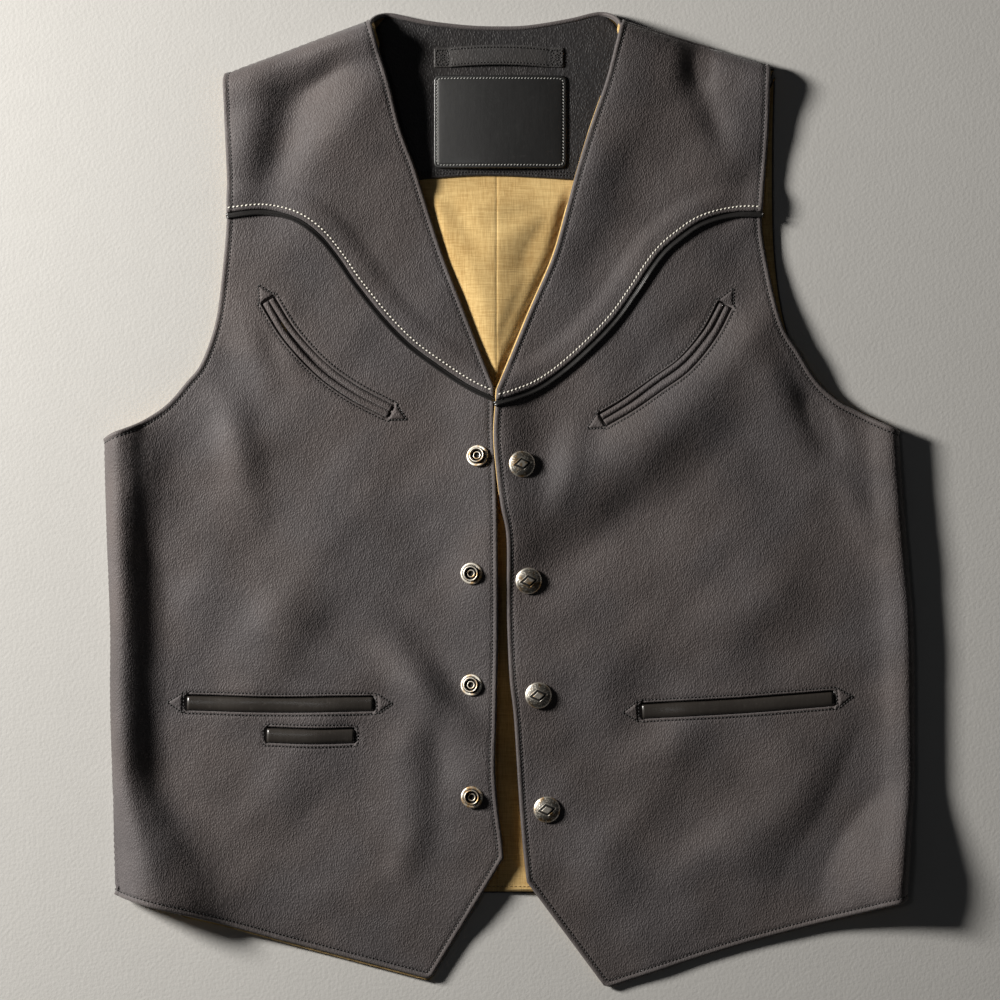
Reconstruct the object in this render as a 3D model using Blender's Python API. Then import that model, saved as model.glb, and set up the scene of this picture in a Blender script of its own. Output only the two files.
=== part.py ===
"""A western vest of lined leather, laid flat on its back with its front upwards.

Metres, +Z up. +Y runs towards the neck and +X towards the wearer's left side. The origin lies
on the surface that the vest rests on, under the middle of its outline. Patterns and sizes are
in millimetres, as a cutter would write them, and each mesh is turned into metres when it is made.
"""

import math
from collections import namedtuple

import bpy
import numpy as np
from mathutils import Vector
from mathutils.geometry import delaunay_2d_cdt

MM = 0.001

# Thicknesses and clearances
LEATHER = 1.6
CANVAS = 1.0
SEAM_GAP = 0.3
LINING_GAP = 0.5
FACING = 1.6
LABEL = 1.2
STRAP = 1.2

# Section of the yoke's piping, as shares of its width and of its height
PIPING_WIDTH = 3.2
PIPING_HEIGHT = 2.4
PIPING_ACROSS = (0.5, 0.5, 0.28, -0.28, -0.5, -0.5)
PIPING_UP = (0.0, 0.7, 1.0, 1.0, 0.7, 0.0)

# Heights of the layers where the vest lies flat
BACK_LINING_FOOT = LEATHER + SEAM_GAP
BACK_LINING_TOP = BACK_LINING_FOOT + CANVAS
FRONT_LEVEL = BACK_LINING_TOP + SEAM_GAP + CANVAS + LINING_GAP
TIP_LEVEL = SEAM_GAP + CANVAS + LINING_GAP
TIP_DROP = (281.0, 300.0)
FACING_FOOT = BACK_LINING_TOP + SEAM_GAP
FACING_TOP = FACING_FOOT + FACING

# Rolls of the leather at the side folds and the shoulder folds
ROLL_WIDTH = 48.0
SIDE_CREST = 12.6
SEAM_INSIDE = 17.0

# Lap of the yoke over the front
YOKE_LAP = 8.0
LAP_RISE = LEATHER + 0.5
LAP_RUN = 22.0

# Half the garment's length, for regions that reach past it
HALF_LENGTH = 341.0

# Spacing of the points that carry the undulations of the panels
PANEL_STEP = 25.0
EDGE_STEP = 16.0
CURVE_STEP = 11.0
SEAM_POINTS = 13
ROLL_CLEAR = 8.0
SPOT_CLEAR = 9.0

# How far the crease lines of the rolls run past a side seam's ends and along a shoulder
PAST_ARMPIT = 60.0
PAST_HEM = 30.0
PAST_CENTRE = 20.0
SHOULDER_RUN = (-20.0, 125.0)

# Section of a roll, from the panel over the crest and round the fold to the seam underneath:
# how far inside the fold, how much of the panel's level is left, how much of the crest is reached
RollRow = namedtuple("RollRow", "inside level crest")
ROLL = (
    RollRow(ROLL_WIDTH, 1.0, 0.0),
    RollRow(39.0, 1.0, 0.06),
    RollRow(30.0, 1.0, 0.34),
    RollRow(22.0, 1.0, 0.77),
    RollRow(15.0, 1.0, 1.0),
    RollRow(9.5, 1.0, 0.92),
    RollRow(4.6, 0.85, 0.56),
    RollRow(1.8, 0.55, 0.22),
    RollRow(3.2, 0.18, 0.04),
    RollRow(7.0, 0.0, 0.0),
    RollRow(12.0, 0.0, 0.0),
    RollRow(SEAM_INSIDE, 0.0, 0.0),
)

# How softly a trough ends on the layer under it
SOFT_FLOOR = 1.2

# Step over which the slope of a front is measured
SLOPE_STEP = 0.2

# A soft trough or ridge in a panel: its middle, its half length and half width, the turn of its
# length from +X in degrees, and how far it stands up
Fold = namedtuple("Fold", "x y along across turn height")
FOLDS = {
    "right": (
        Fold(-88, 296, 85, 50, 105, 12.0),
        Fold(-152, 258, 75, 60, 90, 5.0),
        Fold(-144, 282, 34, 15, 55, -5.0),
        Fold(-128, 262, 34, 13, 55, 3.0),
        Fold(-176, 262, 40, 16, 70, 2.0),
        Fold(-191, 46, 34, 17, 62, 3.5),
        Fold(-214, 28, 40, 15, 60, -1.5),
        Fold(-40, -140, 60, 22, 100, 1.5),
        Fold(-62, -232, 45, 20, 70, 2.0),
        Fold(-150, -60, 80, 30, 95, 1.5),
        Fold(-222, -235, 45, 20, 130, 3.0),
        Fold(-130, -235, 60, 26, 20, 1.0),
    ),
    "left": (
        Fold(72, 300, 75, 42, 75, 11.0),
        Fold(136, 258, 75, 55, 90, 5.0),
        Fold(205, 60, 62, 40, 115, 3.0),
        Fold(131, 282, 34, 14, 100, -4.0),
        Fold(156, 268, 34, 14, 95, 2.5),
        Fold(206, 50, 38, 13, 118, -3.0),
        Fold(238, 10, 48, 13, 112, 2.5),
        Fold(120, 20, 60, 25, 60, 1.5),
        Fold(60, -90, 70, 26, 100, 1.5),
        Fold(248, -238, 34, 16, 50, 3.0),
        Fold(190, -232, 50, 20, 60, -1.2),
        Fold(-9, 38, 62, 26, 90, 3.0),
    ),
}

# Visible edges of the two fronts as they lie, each from its upper or outer end
Point = namedtuple("Point", "x y")
SHOULDER = {
    "right": (Point(-199, 298), Point(-98, 335)),
    "left": (Point(182, 304), Point(79, 335)),
}
SHOULDER_CREST = {"right": (9.0, 13.0), "left": (8.0, 12.0)}
SHOULDER_SPREAD = 100.0
SIDE_FOLD = {
    "right": (Point(-283, 90), Point(-284, 42), Point(-282.5, -20), Point(-280, -90),
              Point(-280, -141), Point(-278, -211), Point(-276, -290)),
    "left": (Point(273, 90), Point(273, 46), Point(278, -24), Point(283, -85),
             Point(284, -141), Point(284, -197), Point(281, -237), Point(277, -300)),
}
ARMHOLE = {
    "right": (Point(-199.5, 296), Point(-198, 241), Point(-197.5, 200), Point(-201, 158),
              Point(-206, 123), Point(-216, 95), Point(-226, 82), Point(-240, 66),
              Point(-256, 55), Point(-272, 48), Point(-284, 43)),
    "left": (Point(182, 303), Point(181, 255), Point(178, 213), Point(176.5, 194),
             Point(180, 168), Point(190, 124), Point(202, 103), Point(215, 83),
             Point(230, 69), Point(243, 62), Point(257, 55), Point(273, 48)),
}
NECK = {
    "right": (Point(-97, 334), Point(-91, 313), Point(-84, 290), Point(-76, 259),
              Point(-66, 232), Point(-56, 200), Point(-45, 167), Point(-32, 132),
              Point(-12, 78)),
    "left": (Point(78, 334), Point(74, 318), Point(67, 291), Point(56, 259), Point(46, 226),
             Point(39, 200), Point(30, 169), Point(14, 132), Point(-9, 76)),
}
CENTRE = {
    "right": (Point(-12, 78), Point(-12, 46), Point(-9, 1), Point(-8, -45), Point(-8, -99),
              Point(-9, -152), Point(-10, -186), Point(-8, -215), Point(-5, -238),
              Point(-4, -251)),
    "left": (Point(-9, 76), Point(-11, 46), Point(-9, 19), Point(-6, -5), Point(-2, -28),
             Point(-2, -78), Point(0, -124), Point(3, -152), Point(6, -200), Point(9, -240),
             Point(12, -268)),
}
TIP = {
    "right": (Point(-4, -251), Point(-54, -334)),
    "left": (Point(12, -268), Point(66, -341)),
}
HEM = {
    "right": (Point(-57, -336), Point(-84, -329), Point(-160, -309), Point(-233, -288),
              Point(-276, -277)),
    "left": (Point(70, -342), Point(91, -335), Point(159, -313), Point(225, -295),
             Point(277, -280)),
}
YOKE_EDGE = {
    "right": (Point(-212, 197), Point(-198, 200), Point(-174, 202.5), Point(-151, 198),
              Point(-133, 186), Point(-119, 169), Point(-106, 150), Point(-87, 127),
              Point(-68, 109), Point(-47, 94.5), Point(-28, 82.5), Point(-12, 75),
              Point(0, 70)),
    "left": (Point(192, 200), Point(179, 201), Point(161, 201), Point(145, 198.5),
             Point(131, 193), Point(118.5, 184), Point(107, 174), Point(97, 161),
             Point(87, 145.5), Point(71.5, 124.5), Point(48.5, 102), Point(24, 83.5),
             Point(3, 74), Point(-9, 70), Point(-20, 66)),
}

# The back as it lies under the fronts
BACK_NECK = (Point(-89, 338), Point(-85, 340), Point(-74, 338), Point(-56, 335), Point(-29, 332),
             Point(-9, 331.3), Point(13, 332), Point(41, 336.5), Point(57, 340), Point(66, 340),
             Point(71, 338))
BACK_NECK_END = {"right": Point(-89, 324), "left": Point(71, 326)}
SHOULDER_START = {"right": 8.0, "left": -4.0}
SHOULDER_POINTS = 4
BACK_ARMHOLE = {
    "right": (Point(-192, 240), Point(-192, 190), Point(-198, 130), Point(-212, 88),
              Point(-232, 64)),
    "left": (Point(186, 296), Point(185, 241), Point(186, 174), Point(193, 124),
             Point(206, 92), Point(224, 68), Point(243, 54)),
}
BACK_HEM = -276.0
ARMPIT = {"right": 41.0, "left": 47.0}
HEM_END = {"right": -276.0, "left": -279.0}
CENTRE_BACK = -9.0

FACING_LOWER = (Point(-72, 223), Point(-31, 226), Point(-9, 226.3), Point(13, 225.5),
                Point(52, 223))
FACING_SIDES = {"right": Point(-82, 318), "left": Point(64, 320)}
FACING_INSET = 1.5

LABEL_MIDDLE = Point(-6.5, 264)
LABEL_SIZE = (93.0, 65.0)
LABEL_CORNER = 4.0
CORNER_STEPS = 4
STRAP_SPAN = (-53.0, 38.0)
STRAP_MIDDLE = 309.0
STRAP_WIDTH = 14.0
STRAP_END = 11.0
STRAP_ARCH = 1.8
STRAP_STEPS = 9

# Pockets. A curve runs along the middle of each opening, from its outer end
CHEST_POCKET = {
    "right": (Point(-169, 139), Point(-154, 115), Point(-133, 92), Point(-110, 75),
              Point(-83, 61)),
    "left": (Point(151, 136), Point(140, 115), Point(123, 94), Point(104, 80), Point(84, 66),
             Point(65, 55)),
}
LOWER_POCKET = {
    "right": (Point(-226, -142.5), Point(-161, -144), Point(-95, -143)),
    "left": (Point(227, -139.5), Point(163, -144.5), Point(92.5, -148.5)),
}
COIN_POCKET = (Point(-170, -165), Point(-139, -166), Point(-108.5, -165.5))
CHEST_LIP = 5.0
CHEST_LIP_THICK = 1.3
WELT_WIDTH = 10.6
WELT_RISE = 0.7

# Padded arrowheads at the ends of the pockets, and how far they stand from the opening's end
Arrow = namedtuple("Arrow", "pocket curves width length gap")
ARROWS = (
    Arrow("chest", CHEST_POCKET, 11.5, 11.0, 0.9),
    Arrow("lower", LOWER_POCKET, 12.5, 9.5, 2.6),
)
ARROW_THICK = 0.3
ARROW_RISE = 1.1
ARROW_PEAK = 0.36

# Snap fasteners, from the neck to the hem
CAPS = (Point(8, 24), Point(13, -57), Point(20, -137), Point(26, -217))
STUDS = (Point(-22, 30), Point(-26, -52), Point(-26, -130), Point(-26, -208))
CAP_RADIUS = 9.2
CAP_EDGE = 1.0
CAP_DOME = 2.3
CAP_LOZENGE = (5.6, 4.0)
CAP_LOZENGE_RISE = 0.5
CAP_SIDES = 20
CAP_RINGS = (0.97, 0.82, 0.62, 0.44, 0.24)
CAP_UNDERCUT = 0.5
STUD_SIDES = 16

# Section of a stud from its foot: a flange, a hollow post and an eyelet inside it
Turn = namedtuple("Turn", "radius height")
STUD_SECTION = (Turn(7.4, 0.0), Turn(7.7, 0.8), Turn(6.9, 1.3), Turn(5.1, 1.0), Turn(4.7, 1.6),
                Turn(4.8, 3.2), Turn(5.2, 3.7), Turn(4.7, 4.1), Turn(4.2, 3.7), Turn(4.1, 1.5),
                Turn(3.0, 1.4), Turn(2.7, 2.3), Turn(2.1, 2.4), Turn(1.8, 0.9))
FASTENER_GAP = 0.4

SIGN = {"right": -1.0, "left": 1.0}
SIDES = ("right", "left")


# Colours and finishes

def material(name, colour, roughness, metallic=0.0):
    """A plain finish of one colour."""
    made = bpy.data.materials.new(name)
    made.use_nodes = True
    shader = made.node_tree.nodes["Principled BSDF"]
    shader.inputs["Base Color"].default_value = (*colour, 1.0)
    shader.inputs["Roughness"].default_value = roughness
    shader.inputs["Metallic"].default_value = metallic
    return made


def make_materials():
    return {
        "leather": material("charcoal_leather", (0.075, 0.067, 0.064), 0.72),
        "trim": material("smooth_black_leather", (0.018, 0.017, 0.018), 0.38),
        "welt": material("glossy_dark_leather", (0.042, 0.035, 0.031), 0.36),
        "canvas": material("gold_canvas", (0.58, 0.40, 0.16), 0.9),
        "metal": material("aged_nickel", (0.42, 0.38, 0.32), 0.38, 1.0),
    }


# Curves and regions in the flat pattern

def smooth(points, step):
    """Points about `step` apart on a smooth curve through `points`."""
    knots = np.asarray(points, float)
    padded = np.vstack([2 * knots[0] - knots[1], knots, 2 * knots[-1] - knots[-2]])
    curve = [knots[:1]]
    for a, b, c, d in zip(padded, padded[1:], padded[2:], padded[3:]):
        count = max(1, round(float(np.linalg.norm(c - b)) / step))
        t = np.linspace(0, 1, count + 1)[1:, None]
        curve.append(0.5 * (2 * b + (c - a) * t + (2 * a - 5 * b + 4 * c - d) * t**2
                            + (3 * b - a - 3 * c + d) * t**3))
    return np.vstack(curve)


def join(*edges):
    """One closed loop from edges laid end to end, without doubled corners."""
    points = np.vstack(edges)
    apart = np.linalg.norm(points - np.roll(points, 1, axis=0), axis=1) > 0.5
    return points[apart]


def sideways(curve, amount, closed=False):
    """A curve moved to its left by `amount`, as seen when walking along it."""
    if closed:
        run = np.roll(curve, -1, axis=0) - np.roll(curve, 1, axis=0)
    else:
        run = np.gradient(curve, axis=0)
    left = np.stack([-run[:, 1], run[:, 0]], axis=1)
    left /= np.linalg.norm(left, axis=1)[:, None]
    return curve + left * amount


def counterclockwise(loop):
    x, y = loop[:, 0], loop[:, 1]
    area = np.sum(x * np.roll(y, -1) - y * np.roll(x, -1))
    return loop if area > 0 else loop[::-1]


def within(points, loop):
    """Which points lie inside a closed loop."""
    found = np.zeros(len(points), bool)
    for a, b in zip(loop, np.roll(loop, -1, axis=0)):
        if a[1] == b[1]:
            continue
        level = (a[1] > points[:, 1]) != (b[1] > points[:, 1])
        crossing = a[0] + (points[:, 1] - a[1]) * (b[0] - a[0]) / (b[1] - a[1])
        found ^= level & (points[:, 0] < crossing)
    return found


def distance(points, curve):
    """How far each point is from an open curve."""
    nearest = np.full(len(points), np.inf)
    for a, b in zip(curve, curve[1:]):
        run = b - a
        share = np.clip((points - a) @ run / (run @ run), 0, 1)
        nearest = np.minimum(nearest, np.linalg.norm(points - a - share[:, None] * run, axis=1))
    return nearest


def band(curve, left, right):
    """The closed strip from `left` to `right` of a curve."""
    return counterclockwise(join(sideways(curve, left), sideways(curve, right)[::-1]))


def beside(curve, reach):
    """The region on one side of a seam that crosses a front: `reach` upwards or downwards."""
    ends = curve[[0, -1]]
    ends[:, 0] += (ends[:, 0] - ends[::-1, 0]) * 2
    return counterclockwise(join(curve, ends[1:], ends[1:] + (0, reach), ends[:1] + (0, reach),
                                 ends[:1]))


def triangulate(region, holes=(), creases=(), spots=()):
    """Triangles that fill a region: inside all of its loops and outside its holes."""
    points, edges = [], []
    for loop in (*region, *holes):
        first = len(points)
        points.extend(loop)
        edges.extend((first + i, first + (i + 1) % len(loop)) for i in range(len(loop)))
    for crease in creases:
        first = len(points)
        points.extend(crease)
        edges.extend((first + i, first + i + 1) for i in range(len(crease) - 1))
    for spot in spots:
        points.extend(spot)
    found = delaunay_2d_cdt([Vector(p) for p in points], edges, [], 0, 1e-4)
    flat = np.array([(v.x, v.y) for v in found[0]])
    faces = np.array([f for f in found[2]])
    middles = flat[faces].mean(axis=1)
    keep = np.ones(len(faces), bool)
    for loop in region:
        keep &= within(middles, loop)
    for hole in holes:
        keep &= ~within(middles, hole)
    used, faces = np.unique(faces[keep], return_inverse=True)
    return flat[used], faces.reshape(-1, 3)


# How a front lies: over the back, round its side fold and round its shoulder fold

def roll_curve():
    """The section of a roll against the length of leather that has gone into it."""
    rows = smooth(ROLL, 2.0)
    rows[:, 1:] = np.clip(rows[:, 1:], 0, 1)
    level = FRONT_LEVEL - LEATHER
    height = rows[:, 1] * level + rows[:, 2] * (SIDE_CREST - FRONT_LEVEL)
    run = np.hypot(np.diff(rows[:, 0]), np.diff(height))
    return np.concatenate([[0], np.cumsum(run)]), rows


ROLL_RUN, ROLL_SECTION = roll_curve()
ROLL_LENGTH = ROLL_RUN[-1]
FOLD_AT = int(np.argmin(ROLL_SECTION[:, 0]))


def roll(beyond):
    """Inside distance, level and crest of a roll, `beyond` past the line where it starts."""
    columns = [np.interp(beyond, ROLL_RUN, ROLL_SECTION[:, i]) for i in range(3)]
    flat = beyond <= 0
    columns[0] = np.where(flat, ROLL_WIDTH - beyond, columns[0])
    past = np.maximum(beyond - ROLL_LENGTH, 0)
    return columns[0] + past, columns[1], columns[2]


def unroll(inside):
    """How far past its start a roll's upper side is, at a distance inside its fold."""
    upper = slice(0, FOLD_AT + 1)
    spot = np.interp(-inside, -ROLL_SECTION[upper, 0], ROLL_RUN[upper])
    return np.where(inside >= ROLL_WIDTH, ROLL_WIDTH - inside, spot)


def fold_x(side, y):
    """Where the side fold is, at a height."""
    line = smooth(SIDE_FOLD[side], 10.0)
    return np.interp(-y, -line[:, 1], line[:, 0])


def shoulder_frame(side):
    """The outer end of a shoulder fold, the way along it to the neck, and the way outwards."""
    outer, neck = (np.array(p, float) for p in SHOULDER[side])
    along = (neck - outer) / np.linalg.norm(neck - outer)
    outwards = np.array([along[1], -along[0]]) * SIGN[side]
    return outer, along, outwards


def unrolled(side, plan):
    """The pattern points of places that are seen from above."""
    plan = np.array(plan, float)
    sign = SIGN[side]
    fold = fold_x(side, plan[:, 1])
    pattern = plan.copy()
    pattern[:, 0] = fold + sign * (unroll(sign * (fold - plan[:, 0])) - ROLL_WIDTH)
    outer, _, outwards = shoulder_frame(side)
    depth = (outer - plan) @ outwards
    shift = unroll(depth) - ROLL_WIDTH + depth
    return pattern + shift[:, None] * outwards


def rise(side, plan):
    """How far the troughs and ridges of a front lift it."""
    lift = np.zeros(len(plan))
    for fold in FOLDS[side]:
        turn = math.radians(fold.turn)
        offset = plan - (fold.x, fold.y)
        along = offset @ (math.cos(turn), math.sin(turn)) / fold.along
        across = offset @ (-math.sin(turn), math.cos(turn)) / fold.across
        lift += fold.height * np.exp(-along**2 - across**2)
    return (lift + np.hypot(lift, SOFT_FLOOR)) / 2


def soft_step(value, start, end):
    t = np.clip((value - start) / (end - start), 0, 1)
    return t * t * (3 - 2 * t)


def rest(side, pattern):
    """Where the inner face of a front's leather lies."""
    pattern = np.asarray(pattern, float)
    sign = SIGN[side]
    fold = fold_x(side, pattern[:, 1])
    inside, level, crest = roll(sign * (pattern[:, 0] - fold) + ROLL_WIDTH)
    plan = pattern.copy()
    plan[:, 0] = fold - sign * inside
    outer, along, outwards = shoulder_frame(side)
    depth = (pattern - outer) @ outwards
    inside, top_level, top_crest = roll(depth + ROLL_WIDTH)
    plan -= (depth + inside)[:, None] * outwards
    level = level * top_level
    crest_outer, crest_neck = SHOULDER_CREST[side]
    share = soft_step((plan - outer) @ along, 0, SHOULDER_SPREAD)
    height = LEATHER + level * (FRONT_LEVEL - LEATHER + rise(side, plan))
    height += crest * (SIDE_CREST - FRONT_LEVEL)
    height += top_crest * (crest_outer + (crest_neck - crest_outer) * share - FRONT_LEVEL)
    height -= (FRONT_LEVEL - TIP_LEVEL) * soft_step(-plan[:, 1], *TIP_DROP) * level
    return np.column_stack([plan, height])


def place(side, pattern, lift):
    """Points `lift` outwards from the inner face of a front's leather."""
    pattern = np.asarray(pattern, float)
    across = rest(side, pattern + (SLOPE_STEP, 0)) - rest(side, pattern - (SLOPE_STEP, 0))
    up = rest(side, pattern + (0, SLOPE_STEP)) - rest(side, pattern - (0, SLOPE_STEP))
    outwards = np.cross(across, up)
    outwards /= np.linalg.norm(outwards, axis=1)[:, None]
    return rest(side, pattern) + outwards * np.reshape(lift, (-1, 1))


def lap(side, pattern):
    """How far the yoke is lifted by the front's edge under it."""
    seam = smooth(YOKE_EDGE[side], CURVE_STEP)
    return LAP_RISE * (1 - soft_step(distance(pattern, seam), YOKE_LAP + 1.5, LAP_RUN))


# Solids

def solid(name, vertices, faces, finish):
    """A named object from points in millimetres."""
    mesh = bpy.data.meshes.new(name)
    mesh.from_pydata((np.asarray(vertices) * MM).tolist(), [], [list(f) for f in faces])
    mesh.materials.append(finish)
    mesh.shade_smooth()
    mesh.set_sharp_from_angle(angle=math.radians(50))
    made = bpy.data.objects.new(name, mesh)
    bpy.context.scene.collection.objects.link(made)
    return made


def wall(name, faces, under, over, finish):
    """A closed wall between two sheets of points that share their triangles."""
    count = len(under)
    ways = {(f[i], f[(i + 1) % 3]) for f in faces.tolist() for i in range(3)}
    rim = [(a, b) for a, b in sorted(ways) if (b, a) not in ways]
    sides = [(a, b, b + count, a + count) for a, b in rim]
    top = [[i + count for i in f] for f in faces.tolist()]
    bottom = [f[::-1] for f in faces.tolist()]
    return solid(name, np.vstack([under, over]), bottom + top + sides, finish)


def flat_wall(name, region, foot, thick, finish):
    """A wall of even thickness that lies flat."""
    pattern, faces = triangulate(region)
    under = np.column_stack([pattern, np.full(len(pattern), foot)])
    return wall(name, faces, under, under + (0, 0, thick), finish)


def turned(name, rings, caps, finish):
    """A closed solid from rings of points, with a point in the middle of each end."""
    sides = len(rings[0])
    count = len(rings) * sides
    faces = [(count, (i + 1) % sides, i) for i in range(sides)]
    for ring in range(len(rings) - 1):
        a, b = ring * sides, (ring + 1) * sides
        faces += [(a + i, a + (i + 1) % sides, b + (i + 1) % sides, b + i) for i in range(sides)]
    last = count - sides
    faces += [(last + i, last + (i + 1) % sides, count + 1) for i in range(sides)]
    return solid(name, np.vstack([*rings, *caps]), faces, finish)


# Parts of the fronts

def seam_heights(side):
    """Heights of the points along a side seam, from the armpit to the hem."""
    return np.linspace(ARMPIT[side], HEM_END[side], SEAM_POINTS)


def front_outline(side, reach=0.0):
    """The whole pattern of a front and its yoke, or one larger all round by `reach`."""
    sign = SIGN[side]
    outer, along, outwards = shoulder_frame(side)
    hidden = ROLL_LENGTH - ROLL_WIDTH
    neck = outer + along * ((np.array(NECK[side][0]) - outer) @ along)
    heights = seam_heights(side)
    seam = np.column_stack([fold_x(side, heights) + sign * hidden, heights])
    edges = (
        smooth([outer + outwards * hidden, *unrolled(side, ARMHOLE[side]), seam[0]], EDGE_STEP),
        seam,
        smooth([seam[-1], *unrolled(side, HEM[side])[::-1]], EDGE_STEP),
        smooth([HEM[side][0], TIP[side][1]], EDGE_STEP),
        smooth(TIP[side][::-1], EDGE_STEP),
        smooth(CENTRE[side][::-1], EDGE_STEP),
        smooth([*unrolled(side, NECK[side])[::-1], neck + outwards * hidden], EDGE_STEP),
    )
    loop = counterclockwise(join(*edges))
    return sideways(loop, -reach, closed=True)


def creases(side):
    """Lines along the rolls of a front, where its section turns."""
    gaps = np.linalg.norm(ROLL_SECTION - np.array(ROLL[:-1])[:, None], axis=2)
    beyond = ROLL_RUN[gaps.argmin(axis=1)] - ROLL_WIDTH
    heights = np.linspace(ARMPIT[side] + PAST_ARMPIT, HEM_END[side] - PAST_HEM, SEAM_POINTS + 4)
    fold = fold_x(side, heights)
    outer, along, outwards = shoulder_frame(side)
    run = np.linspace(*SHOULDER_RUN, SEAM_POINTS - 5)[:, None] * along
    for step in beyond:
        yield np.column_stack([fold + SIGN[side] * step, heights])
        yield outer + run + outwards * step
    far = fold[-1] + SIGN[side] * (ROLL_LENGTH - ROLL_WIDTH)
    across = np.linspace(-PAST_CENTRE, far, SEAM_POINTS + 2)
    for drop in np.linspace(*TIP_DROP, 3):
        yield np.column_stack([across, np.full(len(across), -drop)])


def panel_spots(side, keep_off):
    """A grid of points on a front, clear of its rolls and of the given curves."""
    far = abs(fold_x(side, 0.0)) - ROLL_WIDTH - ROLL_CLEAR
    xs = np.arange(-PANEL_STEP / 2, far, PANEL_STEP) * SIGN[side]
    ys = np.arange(-HALF_LENGTH, HALF_LENGTH, PANEL_STEP)
    grid = np.array([(x, y) for x in xs for y in ys])
    outer, _, outwards = shoulder_frame(side)
    grid = grid[(outer - grid) @ outwards > ROLL_WIDTH + ROLL_CLEAR]
    for curve in keep_off:
        grid = grid[distance(grid, curve) > SPOT_CLEAR]
    return grid


def closed(loop):
    return np.vstack([loop, loop[:1]])


def front_sheet(side, region, holes=(), lines=()):
    """Triangles of a piece of a front, with its rolls and undulations."""
    loops = [closed(loop) for loop in (*region, *holes)]
    spots = panel_spots(side, [*loops, *lines])
    return triangulate(region, holes, [*creases(side), *lines], [spots])


def yoke_lines(side):
    """The yoke's lower edge and the front's upper edge under it."""
    edge = smooth(YOKE_EDGE[side], CURVE_STEP)
    return edge, sideways(edge, -SIGN[side] * YOKE_LAP)


def opening(side, curve, left, right):
    return band(smooth(curve, CURVE_STEP), left, right)


def pocket_slots(side):
    """The holes in a front that its pocket lips and welts fill."""
    chest = CHEST_LIP + SEAM_GAP * 1.5
    lower = WELT_WIDTH / 2 + SEAM_GAP
    slots = [opening(side, CHEST_POCKET[side], chest, -chest),
             opening(side, LOWER_POCKET[side], lower, -lower)]
    if side == "right":
        slots.append(opening(side, COIN_POCKET, lower, -lower))
    return slots


def make_front(side, finishes):
    edge, hidden_edge = yoke_lines(side)
    region = [front_outline(side), beside(hidden_edge, -HALF_LENGTH * 3)]
    pattern, faces = front_sheet(side, region, pocket_slots(side), [edge])
    wall(f"front_{side}", faces, place(side, pattern, 0), place(side, pattern, LEATHER),
         finishes["leather"])


def make_yoke(side, finishes):
    edge, hidden_edge = yoke_lines(side)
    region = [front_outline(side), beside(edge, HALF_LENGTH)]
    pattern, faces = front_sheet(side, region, (), [hidden_edge])
    lift = lap(side, pattern)
    wall(f"yoke_{side}", faces, place(side, pattern, lift), place(side, pattern, lift + LEATHER),
         finishes["leather"])


def make_front_lining(side, finishes):
    pattern, faces = front_sheet(side, [front_outline(side, -1.0)])
    foot = -LINING_GAP - CANVAS
    wall(f"front_lining_{side}", faces, place(side, pattern, foot),
         place(side, pattern, foot + CANVAS), finishes["canvas"])


def make_piping(side, finishes):
    """A narrow rounded strip along the yoke's lower edge."""
    line = smooth(YOKE_EDGE[side], CURVE_STEP)
    line = sideways(line, SIGN[side] * (SEAM_GAP + PIPING_WIDTH / 2))
    line = line[within(line, front_outline(side, 0.5))]
    foot = LEATHER + 2 * SEAM_GAP
    rows = [place(side, sideways(line, across * PIPING_WIDTH),
                  np.full(len(line), foot + up * PIPING_HEIGHT))
            for across, up in zip(PIPING_ACROSS, PIPING_UP)]
    rings = list(np.array(rows).transpose(1, 0, 2))
    ends = [rings[0].mean(axis=0), rings[-1].mean(axis=0)]
    turned(f"piping_{side}", rings, ends, finishes["trim"])


def strip(name, side, curve, left, right, thick, finish):
    """A strip along a curve in a front, a little raised along its middle."""
    middle = (left + right) / 2
    lines = [sideways(curve, at) for at in (right, middle, left)]
    count = len(curve)
    pattern = np.vstack(lines)
    quads = [(row * count + i, row * count + i + 1, (row + 1) * count + i + 1,
              (row + 1) * count + i) for row in range(2) for i in range(count - 1)]
    faces = np.array([t for a, b, c, d in quads for t in ((a, b, c), (a, c, d))])
    lift = np.full(len(pattern), thick)
    lift[count:2 * count] += WELT_RISE
    wall(name, faces, place(side, pattern, 0.0), place(side, pattern, lift), finish)


def make_pockets(side, finishes):
    """The lips and welts that fill the pocket slots."""
    chest = smooth(CHEST_POCKET[side], CURVE_STEP)
    ends = SEAM_GAP * 1.5
    chest = shortened(chest, ends)
    slit = SEAM_GAP / 2
    strip(f"chest_lip_upper_{side}", side, chest, CHEST_LIP, slit, CHEST_LIP_THICK,
          finishes["leather"])
    strip(f"chest_lip_lower_{side}", side, chest, -slit, -CHEST_LIP, CHEST_LIP_THICK,
          finishes["leather"])
    half = WELT_WIDTH / 2
    lower = shortened(smooth(LOWER_POCKET[side], CURVE_STEP), ends)
    strip(f"lower_welt_{side}", side, lower, half, -half, LEATHER, finishes["welt"])
    if side == "right":
        coin = shortened(smooth(COIN_POCKET, CURVE_STEP), ends)
        strip("coin_welt_right", side, coin, half, -half, LEATHER, finishes["welt"])


def shortened(curve, amount):
    """A curve with `amount` taken off each end."""
    trimmed = curve.copy()
    for end, next_in in ((0, 1), (-1, -2)):
        run = curve[next_in] - curve[end]
        trimmed[end] += run * amount / np.linalg.norm(run)
    return trimmed


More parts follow.
